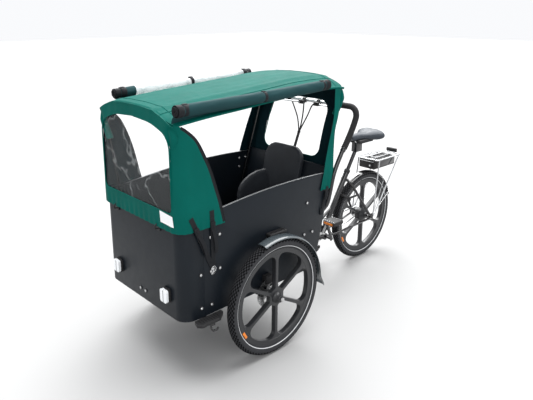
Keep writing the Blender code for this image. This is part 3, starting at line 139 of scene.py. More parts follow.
def read_line(pairs: Sequence[Flat], value: float) -> float:
    """Read a smooth line through (value, result) pairs.

    Args:
        pairs: the known values, rising.
        value: where to read.

    Returns:
        The result there, held at both ends.
    """
    if value <= pairs[0][0]:
        return pairs[0][1]
    if value >= pairs[-1][0]:
        return pairs[-1][1]
    spot = next(i for i in range(len(pairs) - 1) if value <= pairs[i + 1][0])
    slopes = []
    for i in (spot, spot + 1):
        low, high = max(i - 1, 0), min(i + 1, len(pairs) - 1)
        slopes.append((pairs[high][1] - pairs[low][1]) / (pairs[high][0] - pairs[low][0]))
    (x0, y0), (x1, y1) = pairs[spot], pairs[spot + 1]
    span = x1 - x0
    t = (value - x0) / span
    return ((2 * t ** 3 - 3 * t * t + 1) * y0 + (t ** 3 - 2 * t * t + t) * span * slopes[0]
            + (3 * t * t - 2 * t ** 3) * y1 + (t ** 3 - t * t) * span * slopes[1])


def round_corners(corners: Sequence[Triple], count: int = 5) -> list[Flat]:
    """Return a polygon's outline with its corners rounded.

    Args:
        corners: (x, y, radius) of each corner in order.
        count: points in each rounded corner.

    Returns:
        The outline.
    """
    outline: list[Flat] = []
    for index, (x, y, radius) in enumerate(corners):
        if radius <= 0.0:
            outline.append((x, y))
            continue
        here = Vector((x, y))
        before = (Vector(corners[index - 1][:2]) - here).normalized()
        after = (Vector(corners[(index + 1) % len(corners)][:2]) - here).normalized()
        half = before.angle(after) / 2
        reach = radius / tan(half)
        centre = here + (before + after).normalized() * (radius / sin(half))
        first, last = here + before * reach - centre, here + after * reach - centre
        turn = first.angle_signed(last)
        for step in range(count):
            spin = -turn * step / (count - 1)
            point = centre + Matrix.Rotation(spin, 2) @ first
            outline.append((point.x, point.y))
    return outline


def rounded_rectangle(low: Flat, high: Flat, radius: float, count: int = 6) -> list[Flat]:
    """Return the outline of a rectangle with round corners."""
    (left, bottom), (right, top) = low, high
    corners = [(left, bottom), (right, bottom), (right, top), (left, top)]
    return round_corners([(x, y, radius) for x, y in corners], count)


def ripple(point: Vector, size: float, height: float, seed: float = 0.0) -> float:
    """Return a smooth random height at a point.

    Args:
        point: where it is read.
        size: distance over which it changes.
        height: most it rises.
        seed: offset that picks another pattern.

    Returns:
        A height between -height and height.
    """
    spot = point / size + Vector((seed, 1.7 * seed, -seed))
    return height * noise.noise(spot)


def swell(offset: float, width: float) -> float:
    """Return 1 at no offset, falling smoothly to 0 past a width or two."""
    return math.exp(-(offset / width) ** 2)


def show(piece: Piece) -> None:
    """Put a new object in the scene."""
    bpy.context.scene.collection.objects.link(piece)


def blend_edge(value: float, low: float, high: float) -> float:
    """Return 0 below low and 1 above high, rising smoothly between."""
    share = min(max((value - low) / (high - low), 0.0), 1.0)
    return share * share * (3 - 2 * share)


# Finishes


class Graph:
    """A material's nodes, added and linked in short lines."""

    def __init__(self, name: str) -> None:
        """Start a material with a Principled shader."""
        self.material = bpy.data.materials.new(name)
        self.material.use_nodes = True
        self.tree = self.material.node_tree
        self.shader = self.tree.nodes["Principled BSDF"]

    def add(self, kind: str, inputs: dict[str, Any] | None = None, **settings: Any) -> Any:
        """Add one node.

        Args:
            kind: node type without the ShaderNode prefix.
            inputs: socket values, or output sockets to link from.
            settings: node properties.

        Returns:
            The node.
        """
        node = self.tree.nodes.new("ShaderNode" + kind)
        for key, value in settings.items():
            setattr(node, key, value)
        for key, value in (inputs or {}).items():
            socket = node.inputs[int(key)] if key.isdigit() else node.inputs[key]
            if isinstance(value, bpy.types.NodeSocket):
                self.tree.links.new(value, socket)
            else:
                socket.default_value = value
        return node

    def place(self, stretch: Triple = (1.0, 1.0, 1.0)) -> Any:
        """Return the object's own coordinates, stretched."""
        where = self.add("TexCoord").outputs["Object"]
        return self.add("Mapping", {"Vector": where, "Scale": stretch}).outputs["Vector"]

    def noise(self, size: float, detail: float = 4.0, where: Any = None) -> Any:
        """Return a noise value whose features are about size metres."""
        vector = where if where is not None else self.place()
        node = self.add("TexNoise", {"Vector": vector, "Scale": 1.0 / size, "Detail": detail})
        return node.outputs["Fac"]

    def span(self, value: Any, low: float, high: float) -> Any:
        """Return a 0 to 1 value mapped to low to high."""
        node = self.add("MapRange", {"Value": value, "To Min": low, "To Max": high})
        return node.outputs["Result"]

    def mix(self, share: Any, first: Any, second: Any) -> Any:
        """Return a mix of two colours.

        Args:
            share: 0 for the first, 1 for the second.
            first, second: the colours, or sockets that give them.

        Returns:
            The mixed colour.
        """
        node = self.add("Mix", data_type="RGBA")
        for index, value in ((0, share), (6, first), (7, second)):
            if isinstance(value, bpy.types.NodeSocket):
                self.tree.links.new(value, node.inputs[index])
            else:
                node.inputs[index].default_value = value
        return node.outputs[2]

    def bump(self, height: Any, distance: float, strength: float = 1.0, under: Any = None) -> Any:
        """Return a normal that follows a height.

        Args:
            height: socket that gives the height.
            distance: how far the height of 1 stands out.
            strength: share of it that shows.
            under: a normal to add it to.

        Returns:
            The normal.
        """
        inputs = {"Height": height, "Distance": distance, "Strength": strength}
        if under is not None:
            inputs["Normal"] = under
        return self.add("Bump", inputs).outputs["Normal"]

    def feed(self, socket: str, value: Any) -> None:
        """Link or set one input of the Principled shader."""
        if isinstance(value, bpy.types.NodeSocket):
            self.tree.links.new(value, self.shader.inputs[socket])
        else:
            self.shader.inputs[socket].default_value = value


@dataclass(frozen=True)
class Finish:
    """A surface: colour, gloss, and the fine grain that the real one shows."""

    name: str
    slot: str
    colour: Triple
    roughness: float = 0.5
    metallic: float = 0.0
    grain: float = 0.0008
    relief: float = 0.00004
    mottle: float = 0.25
    mottle_size: float = 0.06
    spread: float = 0.08
    coat: float = 0.0
    shine: float = 0.30

    def shade(self, amount: float) -> tuple[float, float, float, float]:
        """Return the colour times amount, with full alpha."""
        return (*(min(part * amount, 1.0) for part in self.colour), 1.0)

    def dress(self, graph: Graph) -> None:
        """Give the shader this finish's mottled colour, gloss and grain."""
        patch = graph.noise(self.mottle_size)
        tone = graph.mix(patch, self.shade(1 - self.mottle), self.shade(1 + self.mottle))
        graph.feed("Base Color", tone)
        low, high = max(self.roughness - self.spread, 0.02), self.roughness + self.spread
        graph.feed("Roughness", graph.span(graph.noise(self.mottle_size / 3), low, high))
        graph.feed("Normal", graph.bump(graph.noise(self.grain, 2.0), self.relief))

    def material(self) -> bpy.types.Material:
        """Return the finish's material, made on first use."""
        known = bpy.data.materials.get("finish_" + self.name)
        if known is not None:
            return known
        graph = Graph("finish_" + self.name)
        graph.feed("Metallic", self.metallic)
        graph.feed("Specular IOR Level", self.shine)
        if self.coat > 0:
            graph.feed("Coat Weight", self.coat)
            graph.feed("Coat Roughness", 0.05)
        self.dress(graph)
        graph.material.diffuse_color = (*self.colour, 1.0)
        return graph.material


@dataclass(frozen=True)
class Canvas(Finish):
    """Coated woven canvas: fine weave, soft creases and dusty colour drift."""

    thread: float = 0.0022

    def dress(self, graph: Graph) -> None:
        """Give the shader a weave, creases and colour drift."""
        where = graph.place()
        waves = [graph.add("TexWave", {"Vector": where, "Scale": 0.31 / self.thread,
                                       "Distortion": 0.6, "Detail Scale": 3.0},
                           bands_direction=way).outputs["Fac"] for way in ("X", "Y", "Z")]
        weave = graph.add("Math", {"0": waves[0], "1": waves[1]}, operation="MULTIPLY").outputs[0]
        weave = graph.add("Math", {"0": weave, "1": waves[2]}, operation="ADD").outputs[0]
        drift = graph.mix(graph.noise(0.13, 5.0), self.shade(0.82), self.shade(1.18))
        graph.feed("Base Color", drift)
        graph.feed("Roughness", graph.span(graph.noise(0.05), self.roughness - 0.06,
                                           self.roughness + 0.08))
        crease = graph.bump(graph.noise(0.035, 3.0), 0.0012, 0.6)
        graph.feed("Normal", graph.bump(weave, 0.00012, 0.7, crease))


@dataclass(frozen=True)
class Film(Finish):
    """Clear flexible film: mostly see-through and hazy, with soft ripples and pale streaks of
    painted highlight.
    """

    opacity: float = 0.18

    def dress(self, graph: Graph) -> None:
        """Give the shader its see-through body and ripples."""
        graph.feed("Base Color", (*self.colour, 1.0))
        graph.feed("Roughness", graph.span(graph.noise(0.08), 0.04, 0.16))
        # Thin lines of higher opacity show the pale film as whitish streaks: painted highlights on
        # the wrinkles.
        drift = graph.add("Math", {"0": graph.noise(0.20, 3.0), "1": 0.5},
                          operation="SUBTRACT").outputs[0]
        near = graph.add("Math", {"0": drift}, operation="ABSOLUTE").outputs[0]
        ridge = graph.add("Math", {"0": near, "1": -55.0, "2": 1.0}, operation="MULTIPLY_ADD",
                          use_clamp=True).outputs[0]
        graph.feed("Alpha", graph.span(ridge, 0.6 * self.opacity, min(2.6 * self.opacity, 0.8)))
        graph.feed("Normal", graph.bump(graph.noise(0.07, 2.0), 0.004, 0.8))


@dataclass(frozen=True)
class Brushed(Finish):
    """Brushed or drawn metal, with fine scratches along one direction."""

    stretch: Triple = (1.0, 0.06, 1.0)

    def dress(self, graph: Graph) -> None:
        """Give the shader scratches and soft stains."""
        lines = graph.noise(0.0007, 3.0, graph.place(self.stretch))
        stain = graph.noise(0.05)
        graph.feed("Base Color", graph.mix(stain, self.shade(0.9), self.shade(1.06)))
        graph.feed("Roughness", graph.span(lines, self.roughness - 0.06, self.roughness + 0.12))
        graph.feed("Normal", graph.bump(lines, 0.00002))


@dataclass(frozen=True)
class Leather(Finish):
    """Stretched cover with a pebbled leather grain."""

    def dress(self, graph: Graph) -> None:
        """Give the shader pebbles and worn lighter patches."""
        cells = graph.add("TexVoronoi", {"Vector": graph.place(), "Scale": 1 / 0.0016},
                          feature="DISTANCE_TO_EDGE").outputs["Distance"]
        graph.feed("Base Color", graph.mix(graph.noise(0.05), self.shade(0.8), self.shade(1.25)))
        graph.feed("Roughness", graph.span(graph.noise(0.02), self.roughness - 0.07,
                                           self.roughness + 0.1))
        graph.feed("Normal", graph.bump(cells, 0.00022, 0.5))


BOX_PANEL = Finish("box_panel", "box_panel", (0.0050, 0.0078, 0.0115), 0.44, shine=0.2,
                   grain=0.0011, relief=0.00005, mottle=0.18, mottle_size=0.12, spread=0.06)
# Lighter grey on the side panels' upward-facing top edges: the cut edge, lightened further by a
# painted highlight from the light above.
PANEL_TOP_HIGHLIGHT = Finish("panel_top_highlight", "box_panel", (0.16, 0.165, 0.17), 0.5, mottle=0.2)
BLACK_PAINT = Finish("black_paint", "black_paint", (0.008, 0.008, 0.009), 0.22, relief=0.00001,
                     coat=0.6, mottle=0.1, spread=0.05)
GLOSS_BLACK = Finish("gloss_black", "gloss_black", (0.006, 0.006, 0.007), 0.12, relief=0.0,
                     coat=1.0, mottle=0.1, spread=0.04)
# Front mudguards: gloss black lightened to slate grey as a painted reflection of the bright sky.
GUARD_PAINTED_REFLECTION = Finish("mudguard", "gloss_black", (0.052, 0.066, 0.074), 0.24, relief=0.0, coat=1.0,
               mottle=0.1, spread=0.05, shine=0.5)
MATTE_BLACK = Finish("matte_black", "matte_black", (0.014, 0.014, 0.015), 0.55, relief=0.00006)
FOAM_BLACK = Finish("foam_black", "foam_black", (0.011, 0.011, 0.012), 0.82, grain=0.0012,
                    relief=0.0003)
TYRE = Finish("tyre_rubber", "tyre_rubber", (0.024, 0.025, 0.028), 0.66, grain=0.002,
              relief=0.00012, mottle=0.3, mottle_size=0.03)
# Near-black rubber for the faces between the tread knobs: painted shade in the grooves.
GROOVE_SHADE = Finish("tyre_groove_shade", "tyre_rubber", (0.004, 0.004, 0.0045), 0.9, shine=0.05)
REFLECTIVE = Finish("reflective_line", "tyre_rubber", (0.62, 0.63, 0.64), 0.35, mottle=0.08)
WHEEL_GREY = Finish("wheel_grey", "wheel_grey", (0.020, 0.021, 0.023), 0.36, mottle=0.12,
                    relief=0.00002, coat=0.2)
CANOPY = Canvas("canopy_green", "canopy_green", (0.0004, 0.084, 0.068), 0.62, shine=0.05)
CANOPY_DARK = Canvas("canopy_dark", "canopy_green", (0.010, 0.040, 0.044), 0.70, shine=0.12)
# Near-black green for the canopy cloth's inward and downward faces: painted shade inside the
# canopy.
CANOPY_INSIDE_SHADE = Canvas("canopy_inside_shade", "canopy_green", (0.002, 0.012, 0.016), 0.75, shine=0.05)
BINDING = Canvas("black_binding", "canopy_green", (0.008, 0.009, 0.011), 0.7, thread=0.0012,
                 shine=0.2)
CLEAR = Film("clear_film", "clear_film", (0.80, 0.84, 0.85), 0.08, shine=0.4, opacity=0.045)
ROLLED_FILM = Film("rolled_film", "clear_film", (0.74, 0.77, 0.78), 0.1, opacity=0.62)
LENS = Finish("lens_white", "lens_white", (0.80, 0.82, 0.84), 0.14, mottle=0.05, relief=0.00008,
              grain=0.002, coat=0.5)
ALUMINIUM = Brushed("aluminium", "aluminium", (0.56, 0.57, 0.58), 0.30, 1.0)
STEEL = Brushed("steel", "steel", (0.56, 0.565, 0.57), 0.24, 1.0)
SEAT = Leather("seat_grey", "seat_grey", (0.020, 0.023, 0.028), 0.52)
SADDLE = Leather("saddle_slate", "saddle_slate", (0.030, 0.037, 0.047), 0.42)
LAMP_RED = Finish("lamp_red", "lamp_red", (0.42, 0.006, 0.006), 0.18, coat=0.6, grain=0.003,
                  relief=0.0001)
AMBER = Finish("amber_reflector", "matte_black", (0.75, 0.20, 0.01), 0.2, coat=0.6,
               grain=0.002, relief=0.0002)
LABEL = Finish("blank_label", "canopy_green", (0.78, 0.79, 0.80), 0.5, mottle=0.05)


# Modelling tools


class Plane(Enum):
    """The plane that a flat outline lies in, and where its own axes point."""

    XY = Matrix.Identity(4)
    YZ = Matrix(((0, 0, 1, 0), (1, 0, 0, 0), (0, 1, 0, 0), (0, 0, 0, 1)))
    XZ = Matrix(((1, 0, 0, 0), (0, 0, -1, 0), (0, 1, 0, 0), (0, 0, 0, 1)))


@dataclass
class Shop:
    """The bench that every piece is made on."""

    frame: dict[str, Any]
    datum: float
    count: int = 0
    bodies: dict[str, str] = field(default_factory=dict)

    def clear(self) -> None:
        """Deselect everything."""
        for other in bpy.context.selected_objects:
            other.select_set(False)

    def take(self, piece: Piece) -> Piece:
        """Select one piece alone and make it active."""
        self.clear()
        piece.select_set(True)
        bpy.context.view_layer.objects.active = piece
        return piece

    @contextmanager
    def editing(self, piece: Piece, mode: str = "FACE") -> Iterator[None]:
        """Hold a piece in edit mode with the selection that its mesh has."""
        self.take(piece)
        bpy.ops.object.mode_set(mode="EDIT")
        bpy.ops.mesh.select_mode(type=mode)
        yield
        bpy.ops.object.mode_set(mode="OBJECT")

    def pick(self, piece: Piece, wanted: Test) -> int:
        """Select the faces that wanted says yes to, and no others.

        Args:
            piece: the piece, in object mode.
            wanted: says yes or no to a polygon.

        Returns:
            The number of faces selected.
        """
        mesh = piece.data
        for group in (mesh.vertices, mesh.edges):
            group.foreach_set("select", [False] * len(group))
        chosen = [bool(wanted(face)) for face in mesh.polygons]
        mesh.polygons.foreach_set("select", chosen)
        return sum(chosen)

    def weld(self, piece: Piece, flatten: bool = False) -> Piece:
        """Merge doubled points, with the flat faces too if asked, and face outwards."""
        with self.editing(piece, "VERT"):
            bpy.ops.mesh.select_all(action="SELECT")
            bpy.ops.mesh.remove_doubles(threshold=DOUBLES)
            if flatten:
                bpy.ops.mesh.dissolve_limited(angle_limit=radians(1.0))
            bpy.ops.mesh.normals_make_consistent(inside=False)
        return piece

    def modify(self, piece: Piece, kind: str, **settings: Any) -> Piece:
        """Add one modifier and apply it.

        Args:
            piece: the piece.
            kind: type of modifier.
            settings: its properties.

        Returns:
            The piece.
        """
        self.take(piece)
        change = piece.modifiers.new("change", kind)
        for key, value in settings.items():
            setattr(change, key, value)
        bpy.ops.object.modifier_apply(modifier=change.name)
        return piece

    def bevel(self, piece: Piece, width: float, segments: int = 2,
              angle: float = 35.0) -> Piece:
        """Round the edges sharper than angle degrees."""
        return self.modify(piece, "BEVEL", width=width, segments=segments,
                           limit_method="ANGLE", angle_limit=radians(angle))

    def wall(self, piece: Piece, thickness: float,
             offset: float = -1.0) -> Piece:
        """Thicken an open sheet."""
        return self.modify(piece, "SOLIDIFY", thickness=thickness, offset=offset,
                           use_even_offset=True)

    def divide(self, piece: Piece) -> Piece:
        """Smooth a cage by one subdivision."""
        return self.modify(piece, "SUBSURF", levels=1, render_levels=1)

    def block(self, low: Point, high: Point, bevel: float = 0.0,
              segments: int = 3) -> Piece:
        """Make a box between two corners, with its edges rounded.

        Args:
            low, high: opposite corners, in any order.
            bevel, segments: width and steps of the rounded edges.

        Returns:
            The box.
        """
        low, high = Vector(map(min, low, high)), Vector(map(max, low, high))
        self.clear()
        bpy.ops.mesh.primitive_cube_add(size=1.0, location=(low + high) / 2)
        piece = bpy.context.object
        piece.scale = high - low
        self.settle(piece)
        if bevel > 0:
            self.bevel(piece, bevel, segments)
        return piece

    def settle(self, piece: Piece) -> Piece:
        """Put a piece's place, turn and size into its mesh."""
        self.take(piece)
        bpy.ops.object.transform_apply(location=True, rotation=True, scale=True)
        return piece

    def drum(self, start: Point, end: Point, radius: float,
             bevel: float = 0.0, sides: int = 24) -> Piece:
        """Make a cylinder between two points, with its rims rounded.

        Args:
            start, end: middles of its ends.
            radius: of the cylinder.
            bevel: width of the rounded rims.
            sides: faces round it.

        Returns:
            The cylinder.
        """
        start, end = Vector(start), Vector(end)
        self.clear()
        turn = (end - start).to_track_quat("Z", "Y").to_euler()
        bpy.ops.mesh.primitive_cylinder_add(vertices=sides, radius=radius, rotation=turn,
                                            depth=(end - start).length, location=(start + end) / 2)
        piece = self.settle(bpy.context.object)
        return self.bevel(piece, bevel, 2, 60) if bevel > 0 else piece

    def grid(self, columns: int, rows: int, place: Callable[[float, float], Point],
             weld: bool = False) -> Piece:
        """Bend a flat grid to a shape.

        Args:
            columns, rows: faces each way.
            place: gives the point for shares u and v, each 0 to 1.
            weld: join edges that meet, and face outwards.

        Returns:
            The sheet.
        """
        self.clear()
        bpy.ops.mesh.primitive_grid_add(x_subdivisions=columns, y_subdivisions=rows, size=1.0)
        piece = bpy.context.object
        for corner in piece.data.vertices:
            corner.co = place(min(max(corner.co.x + 0.5, 0.0), 1.0),
                              min(max(corner.co.y + 0.5, 0.0), 1.0))
        return self.weld(piece) if weld else piece

    def curve(self, lines: Iterable[Sequence[Point]], closed: bool,
              dimensions: str = "3D") -> Piece:
        """Return a new curve object with straight pieces between points.

        Args:
            lines: the points of each of its lines.
            closed: join each line's ends.
            dimensions: "2D" for a flat outline that can be filled.

        Returns:
            The curve object.
        """
        data = bpy.data.curves.new("route", "CURVE")
        data.dimensions = dimensions
        for points in lines:
            line = data.splines.new("POLY")
            line.points.add(len(points) - 1)
            for knot, point in zip(line.points, points):
                knot.co = (*point, 1.0)
            line.use_cyclic_u = closed
        piece = bpy.data.objects.new("route", data)
        show(piece)
        return piece

    def tube(self, points: Iterable[Point], radius: float, closed: bool = False,
             level: int = 4) -> Piece:
        """Sweep a round bar along points.

        Args:
            points: its middle line.
            radius: of the bar.
            closed: join its ends.
            level: a higher level gives a rounder section.

        Returns:
            The bar.
        """
        piece = self.curve([list(points)], closed)
        piece.data.bevel_depth = radius
        piece.data.bevel_resolution = level
        piece.data.use_fill_caps = not closed
        self.take(piece)
        bpy.ops.object.convert(target="MESH")
        return self.weld(bpy.context.object)

    def band(self, points: Sequence[Point], facing: Callable[[int], Vector],
             width: float, thickness: float) -> Piece:
        """Lay a flat strap along points.

        Args:
            points: its middle line.
            facing: gives the outward direction at a point's index.
            width, thickness: of the strap.

        Returns:
            The strap.
        """
        line = [Vector(point) for point in points]
        last = len(line) - 1

        def spot(u: float, v: float) -> Vector:
            """Return the strap's surface at u along and v across."""
            index = round(u * last)
            ahead = line[min(index + 1, last)] - line[max(index - 1, 0)]
            across = ahead.cross(facing(index)).normalized()
            return line[index] + across * width * (v - 0.5)

        piece = self.grid(last, 2, spot)
        self.weld(self.wall(piece, thickness, 0.0))
        return self.bevel(piece, thickness * 0.3, 1, 50)

    def plate(self, outlines: Sequence[Sequence[Flat]], thickness: float,
              centre: Point, plane: Plane, bevel: float = 0.0,
              segments: int = 2) -> Piece:
        """Cut a plate from an outline, with any holes after it.

        Args:
            outlines: the outline, then each hole.
            thickness: of the plate, half to each side of its plane.
            centre: where the outline's own zero goes.
            plane: the plane it lies in.
            bevel, segments: width and steps of its rounded edges.

        Returns:
            The plate.
        """
        flat = [[(across, up, 0.0) for across, up in outline] for outline in outlines]
        piece = self.curve(flat, True, "2D")
        piece.data.fill_mode = "BOTH"
        piece.data.extrude = thickness / 2
        piece.matrix_world = Matrix.Translation(centre) @ plane.value
        self.take(piece)
        bpy.ops.object.convert(target="MESH")
        piece = self.weld(self.settle(bpy.context.object))
        return self.bevel(piece, bevel, segments) if bevel > 0 else piece

    def lathe(self, profile: Sequence[Flat], centre: Point,
              steps: int = 48) -> Piece:
        """Turn a closed (radius, X) profile about an X axis through centre.

        Args:
            profile: the closed section.
            centre: point on the axis.
            steps: faces round the axis.

        Returns:
            The turned piece.
        """
        middle, total = Vector(centre), len(profile)

        def spot(u: float, v: float) -> Vector:
            """Return the surface at u round the axis and v round the section."""
            radius, along = profile[round(v * total) % total]
            turn = 2 * pi * u
            return middle + Vector((along, radius * cos(turn), radius * sin(turn)))

        return self.grid(steps, total, spot, True)

    def join(self, pieces: Sequence[Piece]) -> Piece:
        """Join pieces into one object, each keeping its own finish.

        Args:
            pieces: the pieces, used up.

        Returns:
            The one object.
        """
        self.take(pieces[0])
        for other in pieces[1:]:
            other.select_set(True)
        bpy.ops.object.join()
        return bpy.context.object

    def cut(self, piece: Piece, *tools: Piece) -> Piece:
        """Cut one piece with others, which are used up.

        Args:
            piece: the piece.
            tools: closed shapes to take away from it.

        Returns:
            The piece.
        """
        for tool in tools:
            self.modify(piece, "BOOLEAN", operation="DIFFERENCE", solver="EXACT", object=tool)
            bpy.data.objects.remove(tool)
        return piece

    def copies(self, piece: Piece, places: Iterable[Matrix]) -> Piece:
        """Copy a model to each place and join the copies; the model is used up.

        Args:
            piece: the model.
            places: where each copy goes.

        Returns:
            The joined copies.
        """
        made = []
        for place in places:
            other = piece.copy()
            other.data = piece.data.copy()
            show(other)
            other.data.transform(place)
            if place.to_3x3().determinant() < 0:
                other.data.flip_normals()
            made.append(other)
        bpy.data.objects.remove(piece)
        return self.join(made)

    def paint(self, piece: Piece, finish: Finish,
              wanted: Test | None = None) -> Piece:
        """Give a piece a finish, or give it to the faces that wanted says yes to.

        Args:
            piece: the piece.
            finish: the finish.
            wanted: says yes or no to a polygon, or None for all.

        Returns:
            The piece.
        """
        mesh = piece.data
        if wanted is None:
            mesh.materials.clear()
            mesh.materials.append(finish.material())
            mesh.polygons.foreach_set("material_index", [0] * len(mesh.polygons))
            return piece
        mesh.materials.append(finish.material())
        index = len(mesh.materials) - 1
        for face in mesh.polygons:
            if wanted(face):
                face.material_index = index
        return piece

    def place(self, piece: Piece, name: str, node: str, finish: Finish | None = None,
              stands_in: bool = False, smooth: float = 35.0,
              shift: bool = True) -> Piece:
        """Finish a piece: name it, slide it home, dress it and hang it on its body.

        Args:
            piece: the piece, made about the front axle.
            name: its name.
            node: a CAD node on the body that carries it.
            finish: its finish, or None when it has been painted.
            stands_in: show it in place of that node.
            smooth: shade smooth below this angle in degrees.
            shift: slide it from the axle to its place in the frame.

        Returns:
            The piece.
        """
        if finish is not None:
            self.paint(piece, finish)
        if shift:
            piece.data.transform(Matrix.Translation((0.0, self.datum, 0.0)))
        self.take(piece)
        bpy.ops.object.shade_smooth_by_angle(angle=radians(smooth))
        piece.name = name
        piece.data.name = name
        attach(piece, self.bodies[node])
        self.slot_of(node) if finish is None else finish.slot
        if stands_in:
            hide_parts(node)
        self.count += 1
        LOG.info("%s rides with %s", name, self.bodies[node])
        return piece

    def slot_of(self, node: str) -> str:
        """Return the material slot that the record gives a node."""
        rows = self.frame["record"]["subparts"]
        return next(row["material_slot"] for row in rows if row["node"] == node)

    def refine(self, node: str, finish: Finish, bevel: float = 0.001,
               smooth: float = 40.0) -> Piece:
        """Stand a welded, softly bevelled copy in for a CAD node.

        Args:
            node: the CAD node.
            finish: its finish.
            bevel: width of the rounded edges, or 0 for none.
            smooth: shade smooth below this angle in degrees.

        Returns:
            The copy.
        """
        source = self.frame["nodes"][node]
        piece = bpy.data.objects.new(node + "_surface", source.data.copy())
        show(piece)
        self.weld(piece, True)
        if bevel > 0:
            self.bevel(piece, bevel, 2, smooth)
        return self.place(piece, node + "_surface", node, finish, True, smooth, False)

    def inflate(self, piece: Piece, voxel: float, cap: float) -> Piece:
        """Swell a pad as stuffed cloth, holding each point within cap of its start.

        Args:
            piece: the pad's closed shape, a little small.
            voxel: size of the cloth's mesh.
            cap: most that a point may move.

        Returns:
            The pad.
        """
        self.modify(piece, "REMESH", mode="VOXEL", voxel_size=voxel)
        start = [corner.co.copy() for corner in piece.data.vertices]
        self.take(piece)
        cloth = piece.modifiers.new("cloth", "CLOTH")
        cloth.settings.use_pressure = True
        cloth.settings.uniform_pressure_force = STUFFING
        cloth.settings.effector_weights.gravity = 0.0
        cloth.settings.quality = 5
        scene = bpy.context.scene
        for step in range(1, CLOTH_STEPS + 1):
            scene.frame_set(step)
        bpy.ops.object.modifier_apply(modifier=cloth.name)
        for corner, before in zip(piece.data.vertices, start):
            move = corner.co - before
            if move.length > cap:
                corner.co = before + move * (cap / move.length)
        scene.frame_set(1)
        return self.divide(piece)


# Wheels and brakes


